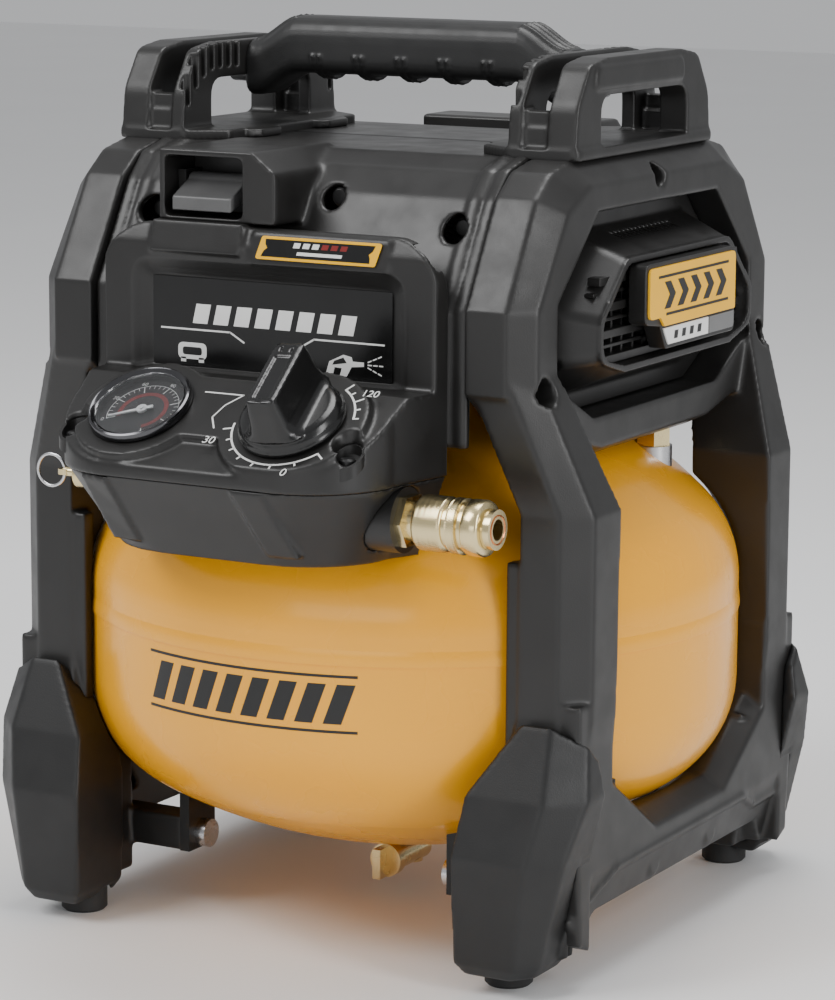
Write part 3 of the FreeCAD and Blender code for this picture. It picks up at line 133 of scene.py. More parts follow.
LOOKS = {
    "tank_paint": finish_of("tank_paint", (0.92, 0.40, 0.003), 0.27, 0.03, 9, 0.12, 900, 0.03,
                            Coat_Weight=0.25,
                            Coat_Roughness=0.12),
    "frame_plastic": finish_of("frame_plastic", (0.013, 0.0125, 0.012), 0.40, 0.12, 30, 0.22, 1700, 0.05),
    "cowl_plastic": finish_of("cowl_plastic", (0.012, 0.0115, 0.011), 0.37, 0.12, 30, 0.22, 1700, 0.05),
    "boot_plastic": finish_of("boot_plastic", (0.007, 0.007, 0.007), 0.46, 0.15, 40, 0.25, 1500, 0.05),
    "foot_rubber": finish_of("foot_rubber", (0.02, 0.02, 0.02), 0.75, 0.2, 60, 0.4, 900, 0.08),
    "grip_rubber": finish_of("grip_rubber", (0.011, 0.011, 0.011), 0.42, 0.15, 40, 0.3, 1800, 0.06),
    "knob_plastic": finish_of("knob_plastic", (0.006, 0.006, 0.006), 0.22, 0.15, 50, 0.06, 1400, 0.04),
    "switch_plastic": finish_of("switch_plastic", (0.10, 0.10, 0.10), 0.38, 0.1, 60, 0.2, 1600, 0.05),
    "label_film": finish_of("label_film", (0.004, 0.004, 0.004), 0.24, 0.2, 40, 0.05, 500, 0.03),
    "badge_yellow": finish_of("badge_yellow", (0.95, 0.50, 0.004), 0.32, 0.03, 60, 0.05, 900, 0.03),
    "brass": finish_of("brass", (0.80, 0.66, 0.36), 0.24, 0.06, 80, 0.10, 1400, 0.07, (0.2, 1, 1),
                       Metallic=1.0),
    "steel": finish_of("steel", (0.56, 0.56, 0.57), 0.32, 0.08, 90, 0.15, 1200, 0.08, (0.2, 1, 1),
                       Metallic=1.0),
    "zinc": finish_of("zinc", (0.66, 0.66, 0.67), 0.25, 0.08, 90, 0.08, 1400, 0.07, Metallic=1.0),
    "black_screw": finish_of("black_screw", (0.03, 0.03, 0.03), 0.35, 0.2, 90, 0.1, 1500, 0.08,
                             Metallic=0.6),
    "dark_chrome": finish_of("dark_chrome", (0.10, 0.10, 0.105), 0.16, 0.1, 60, 0.04, 1600, 0.04,
                             Metallic=1.0),
    "cast_aluminium": finish_of("cast_aluminium", (0.52, 0.52, 0.53), 0.48, 0.12, 70, 0.5, 700, 0.08,
                                Metallic=1.0),
    "lamination": finish_of("lamination", (0.24, 0.24, 0.26), 0.40, 0.15, 300, 0.4, 400, 0.08,
                            (6, 0.2, 0.2), Metallic=0.9),
    "dial_face": finish_of("dial_face", (0.008, 0.008, 0.008), 0.5, 0.2, 80, 0.05, 900, 0.05),
    "needle_white": finish_of("needle_white", (0.80, 0.80, 0.79), 0.45, 0.04, 90, 0.05, 900, 0.04),
    "lens": finish_of("lens", (0.97, 0.98, 1.0), 0.04, 0.01, 40, 0, 900, 0.01, Transmission_Weight=1.0,
                      IOR=1.45),
    "board": finish_of("board", (0.015, 0.10, 0.04), 0.35, 0.3, 150, 0.2, 400, 0.06),
    "black_steel": finish_of("black_steel", (0.02, 0.02, 0.02), 0.42, 0.2, 60, 0.2, 900, 0.08,
                             Metallic=0.5),
}
WHITE = finish_of("print_white", (0.80, 0.80, 0.78), 0.45, 0.03, 60, 0.05, 900, 0.03)
RED = finish_of("print_red", (0.20, 0.008, 0.006), 0.45, 0.08, 60, 0.05, 900, 0.03)
COPPER = finish_of("copper_bore", (0.72, 0.26, 0.10), 0.28, 0.08, 90, 0.08, 1300, 0.05, Metallic=1.0)
PRINT_BLACK = finish_of("print_black", (0.006, 0.006, 0.006), 0.4, 0.1, 60, 0.05, 900, 0.03)
GREY_PRINT = finish_of("print_grey", (0.16, 0.16, 0.16), 0.4, 0.04, 60, 0.05, 900, 0.03)


# ------------------------------------------------------------------ mesh helpers (all in mm)
ROUGH = 1.0


def rounded(points, radius, steps=5):
    """Closed outline with rounded corners; radius is one number or one for each corner."""
    radii = radius if isinstance(radius, (list, tuple)) else [radius] * len(points)
    outline = []
    for k, corner in enumerate(points):
        here = Vector(corner)
        before, after = Vector(points[k - 1]) - here, Vector(points[(k + 1) % len(points)]) - here
        if radii[k] < 0.05:
            outline.append(tuple(here))
            continue
        half = before.angle(after) / 2
        cut = min(radii[k] / math.tan(half), 0.48 * before.length, 0.48 * after.length)
        start, end = here + before.normalized() * cut, here + after.normalized() * cut
        for j in range(steps + 1):
            t = j / steps
            outline.append(tuple(start * (1 - t) ** 2 + here * 2 * t * (1 - t) + end * t * t))
    return outline


def mirror_outline(points):
    """A closed outline from its right-hand half, given top to bottom."""
    return points + [(-a, b) for a, b in reversed(points)]


def skin(rings, closed=False):
    """Mesh through rings of equally many points, capped at both ends unless closed on itself."""
    made = bmesh.new()
    rows = [[made.verts.new(p) for p in ring] for ring in rings]
    count = len(rows[0])
    for a, b in zip(rows, rows[1:] + (rows[:1] if closed else [])):
        for k in range(count):
            made.faces.new((a[k], a[(k + 1) % count], b[(k + 1) % count], b[k]))
    if not closed:
        made.faces.new(list(reversed(rows[0])))
        made.faces.new(rows[-1])
    bmesh.ops.recalc_face_normals(made, faces=made.faces)
    return made


def prism(outline, axis, low, high):
    """Extruded outline: (y, z) points along x, (x, z) along y or (x, y) along z."""
    where = "xyz".index(axis)
    return skin([[(*p[:where], a, *p[where:]) for p in outline] for a in (low, high)])


def block(x0, x1, y0, y1, z0, z1):
    return prism([(x0, y0), (x1, y0), (x1, y1), (x0, y1)], "z", z0, z1)


def lathe(profile, sides=64, ring=False):
    """Turned about z: (radius, height) points; ring closes the profile on itself for a hollow form."""
    columns = []
    for k in range(sides):
        angle = 2 * math.pi * k / sides
        columns.append([(r * math.cos(angle), r * math.sin(angle), z) for r, z in profile])
    made = bmesh.new()
    rows = [[made.verts.new(p) for p in column] for column in columns]
    last = len(profile) if ring else len(profile) - 1
    for a, b in zip(rows, rows[1:] + rows[:1]):
        for k in range(last):
            n = (k + 1) % len(profile)
            made.faces.new((a[k], b[k], b[n], a[n]))
    if not ring:
        made.faces.new([row[0] for row in reversed(rows)])
        made.faces.new([row[-1] for row in rows])
    bmesh.ops.remove_doubles(made, verts=made.verts, dist=1e-5)
    bmesh.ops.recalc_face_normals(made, faces=made.faces)
    return made


def sweep(points, radius, sides=10):
    """Round bar along a line of points."""
    path = [Vector(p) for p in points]
    rings = []
    for k, point in enumerate(path):
        ahead = (path[min(k + 1, len(path) - 1)] - path[max(k - 1, 0)]).normalized()
        side = ahead.cross(Vector((0, 0, 1)) if abs(ahead.z) < 0.9 else Vector((1, 0, 0))).normalized()
        up = side.cross(ahead)
        rings.append([point + side * radius * math.cos(2 * math.pi * j / sides)
                      + up * radius * math.sin(2 * math.pi * j / sides) for j in range(sides)])
    return skin(rings)


def along_x(made, x, y, z):
    """Turns a form built about z so that its axis runs along +x from that point."""
    made.transform(Matrix.Translation((x, y, z)) @ Matrix.Rotation(math.radians(90), 4, "Y"))
    return made


def on_deck(made, x=0.0, turn=0.0):
    made.transform(DECK @ Matrix.Translation((x, 0, 0)) @ Matrix.Rotation(math.radians(turn), 4, "Z"))
    return made


def mirrored(made):
    other = made.copy()
    other.transform(Matrix.Scale(-1, 4, (1, 0, 0)))
    bmesh.ops.reverse_faces(other, faces=other.faces)
    return other


def cad(node):
    """A CAD node's mesh in mm, its tessellation seams merged."""
    made = bmesh.new()
    made.from_mesh(NODES[node].data)
    made.transform(Matrix.Scale(1000, 4))
    bmesh.ops.remove_doubles(made, verts=made.verts, dist=0.01)
    return made


def joined(parts):
    mesh = bpy.data.meshes.new("joined")
    whole = bmesh.new()
    for part in parts:
        part.to_mesh(mesh)
        whole.from_mesh(mesh)
    bpy.data.meshes.remove(mesh)
    return whole


def as_object(parts, name):
    whole = joined(parts)
    whole.transform(Matrix.Scale(MM, 4))
    mesh = bpy.data.meshes.new(name)
    whole.to_mesh(mesh)
    whole.free()
    thing = bpy.data.objects.new(name, mesh)
    bpy.context.scene.collection.objects.link(thing)
    return thing


def baked(thing):
    """The object's mesh with its modifiers worked out; the object itself goes."""
    graph = bpy.context.evaluated_depsgraph_get()
    mesh = bpy.data.meshes.new_from_object(thing.evaluated_get(graph), depsgraph=graph)
    old = thing.data
    bpy.data.objects.remove(thing)
    bpy.data.meshes.remove(old)
    return mesh


def moulded(parts, cuts=(), voxel=1.2, melt=3):
    """One seamless moulding from overlapping forms less the cuts, its edges melted round."""
    body = as_object(parts, "moulding")
    cutter = None
    if cuts:
        remesh = body.modifiers.new("whole", "REMESH")
        remesh.mode, remesh.voxel_size = "VOXEL", voxel * ROUGH * MM
        cutter = as_object(cuts, "cutter")
        carve = body.modifiers.new("carve", "BOOLEAN")
        carve.operation, carve.object, carve.solver, carve.use_self = "DIFFERENCE", cutter, "EXACT", True
    remesh = body.modifiers.new("grain", "REMESH")
    remesh.mode, remesh.voxel_size = "VOXEL", voxel * ROUGH * MM
    if melt:
        smooth = body.modifiers.new("melt", "SMOOTH")
        smooth.factor, smooth.iterations = 0.5, melt
    mesh = baked(body)
    if cutter:
        bpy.data.objects.remove(cutter)
    mesh.shade_smooth()
    return mesh


def shade(mesh, angle=32.0):
    mesh.shade_smooth()
    mesh.set_sharp_from_angle(angle=math.radians(angle))


def show(name, mesh, body, slot, look=None, stands_for=()):
    """Puts a finished mesh into the scene, riding on its body."""
    mesh.materials.clear()
    mesh.materials.append(look or LOOKS[slot])
    piece = bpy.data.objects.new(name, mesh)
    bpy.context.scene.collection.objects.link(piece)
    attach(piece, body)
    if stands_for:
        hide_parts(*stands_for)
    return piece


def crisp(name, parts, body, slot, round_by=0.0, segments=2, look=None, stands_for=(), angle=32.0):
    """A piece from clean forms, its edges rounded by a bevel."""
    thing = as_object(parts, name + "_raw")
    if round_by:
        bevel = thing.modifiers.new("edge_round", "BEVEL")
        bevel.width, bevel.segments = round_by * MM, segments
        bevel.limit_method, bevel.angle_limit = "ANGLE", math.radians(30)
        bevel.harden_normals = True
    shade(thing.data, angle)
    mesh = baked(thing)
    return show(name, mesh, body, slot, look, stands_for)


# ------------------------------------------------------------------ the pieces
for name, node in NODES.items():
    node.data.materials[0] = LOOKS[SLOT_OF[name]]
    shade(node.data)

CHASSIS = "chassis"


# Tank: the top shell laps over the lower one, and a plain printed mark sits under the seam.
def wrapped(turn0, turn1, z0, z1, slant=0.0, steps=6):
    """Thin printed strip on the tank's straight side, between two angles in degrees."""
    rings = []
    for k in range(steps + 1):
        turn = turn0 + (turn1 - turn0) * k / steps
        ring = []
        inner, outer = TANK_R - 0.3, TANK_R + PRINT_PROUD
        for r, z, lean in ((inner, z0, 0), (outer, z0, 0), (outer, z1, slant), (inner, z1, slant)):
            angle = math.radians(turn + lean)
            ring.append((r * math.sin(angle), -r * math.cos(angle), z))
        rings.append(ring)
    return skin(rings)


lap = lathe([(149.6, 147.0), (150.3, 143.5), (150.75, 139.0), (150.6, 138.2), (149.6, 138.0)], 180,
            ring=True)
crisp("tank_weld_lap", [lap], CHASSIS, "tank_paint", angle=40)
mark = [wrapped(-20.8, 20.2, 132.9, 134.1, steps=24), wrapped(-20.8, 20.2, 108.6, 109.8, steps=24)]
for k in range(8):
    mark.append(wrapped(-20.3 + 4.95 * k, -17.2 + 4.95 * k, 112.6, 130.0, 2.4))
crisp("tank_mark", mark, CHASSIS, "tank_paint", look=PRINT_BLACK)


# Side frames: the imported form, its foot-bar ridge, bosses and inner cross ribs, edges melted round.
def draft_x(z):
    """How far out the foot bar's face stands at height z."""
    return 143.0 - max(0.0, 50.0 - z) * 0.26


def rib(y0, z0, y1, z1, x0, x1, wide):
    """Upright rib between two points of the side view."""
    along = Vector((y1 - y0, z1 - z0)).normalized() * wide / 2
    side = Vector((-along.y, along.x))
    a, b = Vector((y0, z0)), Vector((y1, z1))
    return prism([tuple(a + side), tuple(b + side), tuple(b - side), tuple(a - side)], "x", x0, x1)


def frame_forms():
    line = [(-112, 30), (-104, 33.5), (-74, 47.0), (58, 48.0), (74, 40.5), (104, 41.0), (110, 36)]
    forms = [cad("right_side_frame"), sweep([(draft_x(z) - 0.6, y, z) for y, z in line], 2.4, 8)]
    for y in (-30.0, 29.0):
        boss = lathe([(0, 0), (6.5, 0), (6.5, 12.5), (4.5, 14), (0, 14)], 28)
        forms.append(along_x(boss, 126.0, y, 37.0))
    for s in (-1, 1):
        for y0, z0, y1, z1 in ((98, 112, 58, 44), (84, 96, 98, 62), (97, 88, 84, 70), (97, 64, 66, 84)):
            forms.append(rib(s * y0, z0, s * y1, z1, 128.0, 138.6, 1.8))
    return forms


frame_mesh = moulded(frame_forms(), voxel=1.25, melt=4)
show("right_frame_moulding", frame_mesh, CHASSIS, "frame_plastic", stands_for=["right_side_frame"])


def reflected(mesh, axis, tag):
    """Copy of a finished mesh, mirrored across the plane that axis crosses."""
    other = bmesh.new()
    other.from_mesh(mesh)
    other.transform(Matrix.Scale(-1, 4, axis))
    bmesh.ops.reverse_faces(other, faces=other.faces)
    result = bpy.data.meshes.new(mesh.name + tag)
    other.to_mesh(result)
    other.free()
    result.shade_smooth()
    return result


def flipped(mesh):
    return reflected(mesh, (1, 0, 0), "_left")


def turned_back(mesh):
    return reflected(mesh, (0, 1, 0), "_rear")


show("left_frame_moulding", flipped(frame_mesh), CHASSIS, "frame_plastic", stands_for=["left_side_frame"])

# Boots: soft over-moulding with comb ribs at the lower rear corner.
boot_forms = [cad("front_right_boot")]
for y in (-108.0, -103.5):
    comb = rounded([(131.5, 12), (137.2, 14), (137.8, 27), (131.5, 30)], 1.5)
    boot_forms.append(prism(comb, "y", y - 1.0, y + 1.0))
boot_mesh = moulded(boot_forms, voxel=1.1, melt=9)
show("front_right_boot_moulding", boot_mesh, CHASSIS, "boot_plastic", stands_for=["front_right_boot"])
show("front_left_boot_moulding", flipped(boot_mesh), CHASSIS, "boot_plastic",
     stands_for=["front_left_boot"])
show("rear_right_boot_moulding", turned_back(boot_mesh), CHASSIS, "boot_plastic",
     stands_for=["rear_right_boot"])
show("rear_left_boot_moulding", turned_back(flipped(boot_mesh)), CHASSIS, "boot_plastic",
     stands_for=["rear_left_boot"])


# Grilles: sloped rim with comb vents and slots, sunken louvres behind an octagonal lip.
def octagon(inset):
    corner = 0.41 * inset
    return mirror_outline([(60 - corner, 328 - inset), (97 - inset, 292 - corner),
                           (97 - inset, 258 + corner), (62 - corner, 240 + inset)])


def ring_of(outer, inner, x0, x1):
    """Band between two outlines of equally many points, from x0 to x1."""
    corners = []
    for k in range(len(outer)):
        (ya, za), (yb, zb) = outer[k], inner[k]
        corners.append([(x0, ya, za), (x1, ya, za), (x1, yb, zb), (x0, yb, zb)])
    return skin(corners, closed=True)


def slope_band(outline_a, outline_b, x_a, x_b, thick):
    """Sloping wall from one outline at x_a to another at x_b."""
    corners = []
    for (ya, za), (yb, zb) in zip(outline_a, outline_b):
        corners.append([(x_a, ya, za), (x_b, yb, zb), (x_b - thick, yb, zb), (x_a - thick, ya, za)])
    return skin(corners, closed=True)


def grille_forms():
    soft = [rounded(octagon(i), 6 if i < 12 else 9, 4) for i in (0.4, 9, 19.5, 22.5, 24)]
    rim, foot, lip, lip_in, field = soft
    forms = [ring_of(rim, foot, 97.3, 106.5), slope_band(foot, lip, 105.5, 131.0, 4.0),
             ring_of(lip, lip_in, 127.0, 133.0), slope_band(lip_in, field, 130.5, 125.0, 2.5)]
    cuts = []
    for s in (-1, 1):
        for y0, z0, y1, z1 in ((74, 311, 84, 301), (87, 290, 87, 277), (86, 266, 81, 256)):
            cuts.append(rib(s * y0, z0, s * y1, z1, 108.0, 130.0, 6.0))
    for k in range(15):
        y = -28 + 4 * k
        cuts.append(block(112.0, 130.0, y - 1.1, y + 1.1, 313.5, 320.0))
        cuts.append(block(112.0, 130.0, y - 1.1, y + 1.1, 247.5, 252.5))
    return forms, cuts


def louvre_forms():
    """Bars across the field in turn thick and thin, with upright ribs behind them."""
    forms = []
    for k, z in enumerate((299.5, 294.0, 288.0, 282.5, 276.5, 271.0, 265.5)):
        tall = 3.6 if k % 2 == 0 else 1.6
        front = 128.5 if k % 2 == 0 else 127.0
        wide = min(74.0, 65.57 + min(305 - z, z - 255) * 1.02) - 1.0
        low, high = z - tall / 2, z + tall / 2
        bar = rounded([(-wide, low), (wide, low), (wide, high), (-wide, high)], 0.4, 2)
        forms.append(prism(bar, "x", 122.5, front))
    for y in (-62, -52, -42, -31, -20, -9, 2, 13, 24, 35, 46, 56, 66):
        top = min(303.5, 306 - max(0, abs(y) - 48) * 0.95)
        low = max(263.5, 262 + max(0, abs(y) - 50) * 0.75)
        wide = 1.9 if y in (-20, 24) else 0.8
        forms.append(block(119.0, 125.5, y - wide, y + wide, low, top))
    return forms


rim_forms, rim_cuts = grille_forms()
rim_mesh = moulded(rim_forms, rim_cuts, voxel=0.7, melt=2)
show("right_grille_rim", rim_mesh, CHASSIS, "cowl_plastic", stands_for=["right_grille"])
show("left_grille_rim", flipped(rim_mesh), CHASSIS, "cowl_plastic", stands_for=["left_grille"])
for side, turn in (("right", lambda m: m), ("left", mirrored)):
    crisp(side + "_grille_louvres", [turn(f) for f in louvre_forms()], CHASSIS, "cowl_plastic", 0.3)


# Badges: framed plate with chevrons over a white and grey strip; no lettering.
def badge_forms():
    yellow = rounded([(-44, 303), (44, 303), (44, 277), (-29, 277), (-33, 281), (-44, 281)],
                     [3, 3, 1, 0.5, 0.5, 3], 3)
    frame = rounded([(-46, 305), (46, 305), (46, 266.5), (-25, 266.5), (-31, 277), (-46, 279)],
                    [4, 4, 3, 2, 1, 4], 3)
    white = [(-29, 276), (17, 276), (17, 268.5), (-24, 268.5)]
    grey = rounded([(18, 276), (44, 276), (44, 268.5), (18, 268.5)], [0, 0, 2, 0], 3)
    marks = [[(-36, 299.4), (36, 299.4), (36, 298.2), (-36, 298.2)],
             [(-28, 282.8), (36, 282.8), (36, 281.6), (-28, 281.6)]]
    for k in range(5):
        y = -30 + 13.2 * k
        marks.append([(y, 296.4), (y + 6, 296.4), (y + 11.2, 290.6), (y + 6, 284.6), (y, 284.6),
                      (y + 5.2, 290.6)])
    dashes = [[(y, 274), (y + 3.6, 274), (y + 2.8, 270.5), (y - 0.8, 270.5)] for y in (-18, -10, -2, 6)]
    return (prism(frame, "x", 130.0, 138.6), prism(yellow, "x", 138.2, 139.8),
            prism(white, "x", 138.2, 139.3), prism(grey, "x", 138.2, 139.3),
            [prism(m, "x", 139.6, 139.92) for m in marks],
            [prism(m, "x", 139.1, 139.42) for m in dashes])


for side, turn in (("right", lambda m: m), ("left", mirrored)):
    plate, yellow, white, grey, marks, dashes = badge_forms()
    crisp(side + "_badge_frame", [turn(plate)], CHASSIS, "cowl_plastic", 0.8, 3)
    crisp(side + "_badge_plate", [turn(yellow)], CHASSIS, "badge_yellow", 0.35,
          stands_for=["grille_badges"] if side == "right" else ())
    crisp(side + "_badge_white_strip", [turn(white)], CHASSIS, "badge_yellow", 0.2, look=WHITE)
    crisp(side + "_badge_grey_strip", [turn(grey)], CHASSIS, "badge_yellow", 0.2, look=GREY_PRINT)
    crisp(side + "_badge_marks", [turn(m) for m in marks + dashes], CHASSIS, "badge_yellow",
          look=PRINT_BLACK)


# Cowl: two smooth halves with raised end bands, sunken screw pockets and the switch hood.
def half_cowl(s, inset):
    half = [(0, 350 - inset), (66 - 0.3 * inset, 350 - inset), (84 - 0.7 * inset, 345 - inset),
            (95.5 - 0.9 * inset, 334 - 0.7 * inset), (121 - inset, 290), (121 - inset, 232), (0, 232)]
    return [(s * y, z) for y, z in half]


def cowl_forms(node, s):
    forms = [cad(node)]
    for x0, x1 in ((80.0, 84.5), (87.5, 92.7)):
        for a, b in ((x0, x1), (-x1, -x0)):
            forms.append(prism(half_cowl(s, -1.3), "x", a, b))
    return forms


def pocket(x, y, z, radius=6.0, length=22.0):
    """Round pocket driven in towards the rear, its mouth stretched by the slope it enters."""
    made = lathe([(0, 0), (radius * 0.7, 0), (radius, 2.5), (radius, length), (0, length)], 32)
    made.transform(Matrix.Translation((x, y, z)) @ Matrix.Rotation(math.radians(90), 4, "X"))
    return made


def hollow(s):
    """Room inside one half of the cowl, s = -1 for the front half."""
    half = [(-1.0, 347.0), (65.0, 347.0), (81.9, 342.0), (92.8, 331.9), (118.0, 289.2), (118.0, 229.0),
            (-1.0, 229.0)]
    return prism([(s * y, z) for y, z in half], "x", -120, 120)


front_cuts = [hollow(-1)] + [pocket(x, SCREW_Y, SCREW_Z) for x in (SCREW_X, -SCREW_X)]
front_cuts.append(pocket(13.0, -88.0, 331.5, 5.2))
front_mesh = moulded(cowl_forms("front_cowl", -1), front_cuts, 1.2, 4)
show("front_cowl_moulding", front_mesh, CHASSIS, "cowl_plastic", stands_for=["front_cowl"])
terminal_cut = block(-20, 20, 100, 130, 262, 292)
rear_mesh = moulded(cowl_forms("rear_cowl", 1), [hollow(1), terminal_cut], 1.3, 4)
show("rear_cowl_moulding", rear_mesh, CHASSIS, "cowl_plastic", stands_for=["rear_cowl"])
screws = []
for x, y, z in ((SCREW_X, SCREW_Y - 0.5, SCREW_Z), (-SCREW_X, SCREW_Y - 0.5, SCREW_Z), (13.0, -88.5, 331.5)):
    head = lathe([(0, 0), (4.2, 0), (4.2, 1.6), (3.2, 2.6), (0, 2.9)], 28)
    head.transform(Matrix.Translation((x, y, z)) @ Matrix.Rotation(math.radians(90), 4, "X"))
    screws.append(head)
crisp("cowl_screws", screws, CHASSIS, "black_screw", 0.2)
receiver_mesh = moulded([cad("battery_receiver")], voxel=1.1, melt=3)
show("battery_receiver_moulding", receiver_mesh, CHASSIS, "cowl_plastic", stands_for=["battery_receiver"])


# Handle arches: paired plates with rounded shoulders, a framed pad and a comb of slots.
def arch_forms():
    outer = rounded([(-68, 350), (-65.5, 372), (-54, 389.5), (-38, 392), (38, 392), (54, 389.5),
                     (65.5, 372), (68, 350)], [0, 16, 9, 8, 8, 9, 16, 0], 6)
    window = rounded([(-43, 354), (-43, 376), (43, 376), (43, 354)], [3, 9, 9, 3], 5)
    outer_plate = skin([[(101.0, y, z) for y, z in outer], [(115.0, y, z) for y, z in outer]])
    inner_plate = skin([[(82.0, y, z) for y, z in outer], [(88.5, y, z) for y, z in outer]])
    pad = prism(rounded([(-50, 388.5), (37, 388.5), (37, 379), (-50, 379)], [5, 5, 2.5, 2.5], 4), "x",
                114.0, 116.4)
    saddle = prism(rounded([(116.6, -68), (116.6, 68), (82, 68), (64, 56), (64, -56), (82, -68)], 4, 3),
                   "z", 349.6, 354.2)
    forms = [outer_plate, inner_plate, pad, saddle]
    for y in (-30, 30):
        lug = rounded([(64, y - 16), (58, y - 8), (58, y + 8), (64, y + 16)], 2, 3)
        forms.append(prism(lug, "z", 349.8, 353.6))
    for s in (-1, 1):
        forms.append(block(87.5, 102.0, s * 58 - 7, s * 58 + 7, 352.0, 363.0))
        forms.append(block(87.5, 102.0, s * 59 - 5, s * 59 + 3, 352.0, 370.0))
    forms.append(block(87.5, 102.0, -10, 10, 377, 388))
    cuts = [prism(window, "x", 80.0, 119.0)]
    for y, top in ((-62.5, 376), (-56, 383.5), (-49.5, 388), (-42.5, 391), (-35.5, 391.5), (-28.5, 391.5),
                   (-21.5, 391.5)):
        for s in (-1, 1):
            cuts.append(block(79.0, 85.6, s * y - 1.7, s * y + 1.7, top - 11.5, top + 4))
    return forms, cuts


forms, cuts = arch_forms()
arch_mesh = moulded(forms, cuts, voxel=0.8, melt=3)
show("right_arch_moulding", arch_mesh, CHASSIS, "frame_plastic", stands_for=["right_handle_arch"])
show("left_arch_moulding", flipped(arch_mesh), CHASSIS, "frame_plastic", stands_for=["left_handle_arch"])


# Grip: a swept, rounded section that steps down to the arches, ridged at its ends and nubbed below.
def grip_section(x):
    """Rounded cross-section of the grip at x."""
    fall = min(1.0, max(0.0, (abs(x) - 56) / 24))
    drop = 11.0 * fall * fall * (3 - 2 * fall)
    top, low = GRIP_TOP - drop, GRIP_TOP - GRIP_H - drop
    wide = 15.0 - 0.5 * fall
    points = rounded([(-wide, low + 1), (-wide, top), (wide, top), (wide, low + 1)], [9, 11.5, 11.5, 9], 7)
    return [(x, y, z) for y, z in points]


half_stations = [82, 78, 74, 70, 66, 62, 58, 54, 48, 40, 30, 20, 10]
stations = [-x for x in half_stations] + [0] + half_stations[::-1]
grip_forms = [skin([grip_section(x) for x in stations])]
for s in (-1, 1):
    for y in (-8.5, -3.5, 1.5, 6.5):
        path = []
        for x in range(58, 82, 3):
            ring = grip_section(s * x)
            top = max(p[2] for p in ring)
            path.append((s * x, y, top - 0.15 - 0.012 * y * y * 0.6))
        grip_forms.append(sweep(path, 1.1, 8))
for x in (-44, -22, 0, 22, 44):
    for dx in (-1.8, 1.8):
        arc = [(x + dx, 15.6 * math.cos(a), GRIP_TOP - 15 + 13.0 * math.sin(a))
               for a in [math.radians(180 + 10 + 16 * j) for j in range(11)]]
        grip_forms.append(sweep(arc, 1.2, 8))
show("handle_grip_moulding", moulded(grip_forms, voxel=0.7, melt=3), CHASSIS, "grip_rubber",
     stands_for=["handle_grip"])


# Control panel: label recess with sloping borders, ledge under the switch, soft pads.
def panel_forms():
    ledge = prism([(-132.6, 308), (-129.6, 321.5), (-121.5, 321.5), (-121.5, 308)], "x", -58.0, -12.0)
    mouth = rounded([(-70, 255.8), (-70, 306.5), (70, 306.5), (70, 255.8)], [2, 12, 12, 2], 5)
    floor_edge = rounded([(-60, 257.6), (-60, 297), (60, 297), (60, 257.6)], [1, 4, 4, 1], 5)
    border = skin([[(x, -131.4, z) for x, z in mouth], [(x, -125.5, z) for x, z in floor_edge]])
    seat = prism([(-131.6, 305.0), (-129.3, 318.8), (-122.0, 318.8), (-122.0, 305.0)], "x", -7.0, 60.0)
    return [cad("control_panel"), ledge, seat], [border]


forms, cuts = panel_forms()
show("control_panel_moulding", moulded(forms, cuts, voxel=0.9, melt=6), CHASSIS, "cowl_plastic",
     stands_for=["control_panel"])


# Screw pockets beside the gauge and the knob: a floor under each, with its screw.
PAD_H, PANEL_WALL = 3.5, 3.0
POCKET_R, POCKET_X, POCKET_Y = 6.0, 67.0, -176.0
slope = math.tan(math.radians(DECK_TILT))
drop = (PAD_H + PANEL_WALL) / math.cos(math.radians(DECK_TILT))
pocket_z = DECK_Z + (POCKET_Y - DECK_Y) * slope
cups, cup_screws = [], []
for s in (-1, 1):
    cup = lathe([(0, -drop - 4), (POCKET_R + 1.2, -drop - 4), (POCKET_R + 1.2, -drop + 1),
                 (POCKET_R - 0.05, -drop + 1), (POCKET_R - 0.05, -drop - 3), (0, -drop - 3)], 40)
    for vert in cup.verts:
        vert.co.z += vert.co.y * slope
    cup.transform(Matrix.Translation((s * POCKET_X, POCKET_Y, pocket_z)))
    cups.append(cup)
    head = lathe([(0, -2), (3.6, -2), (3.6, 1.2), (2.8, 2.0), (0, 2.2)], 32)
    head.transform(Matrix.Translation((s * POCKET_X, POCKET_Y, pocket_z - drop - 2.0)))
    cup_screws.append(head)
crisp("panel_screw_cups", cups, CHASSIS, "cowl_plastic")
crisp("panel_screws", cup_screws, CHASSIS, "black_screw", 0.2)


def apron_band(x_top, x_low, wide, z_top, z_low):
    """Slanted raised band that follows the apron's rounded, leaning front."""
    def face_y(x, z):
        back = 21.0 * (220 - z) / 35
        corner = max(0.0, abs(x) - 39.0)
        return -194.0 + back + 38.0 - math.sqrt(38.0 ** 2 - min(corner, 37.0) ** 2)

    rings = []
    for t in (0, 0.5, 1):
        x, z = x_top + (x_low - x_top) * t, z_top + (z_low - z_top) * t
        rings.append([(x, face_y(x, z) - 1.5, z), (x + wide, face_y(x + wide, z) - 1.5, z),
                      (x + wide, face_y(x + wide, z) + 2, z), (x, face_y(x, z) + 2, z)])
    return skin(rings)


apron_forms = [cad("panel_apron"), apron_band(-54.5, -48.3, 14, 218.5, 190),
               apron_band(21.6, 29.4, 15, 218.5, 190)]
show("panel_apron_moulding", moulded(apron_forms, voxel=1.0, melt=5), CHASSIS, "cowl_plastic",
     stands_for=["panel_apron"])


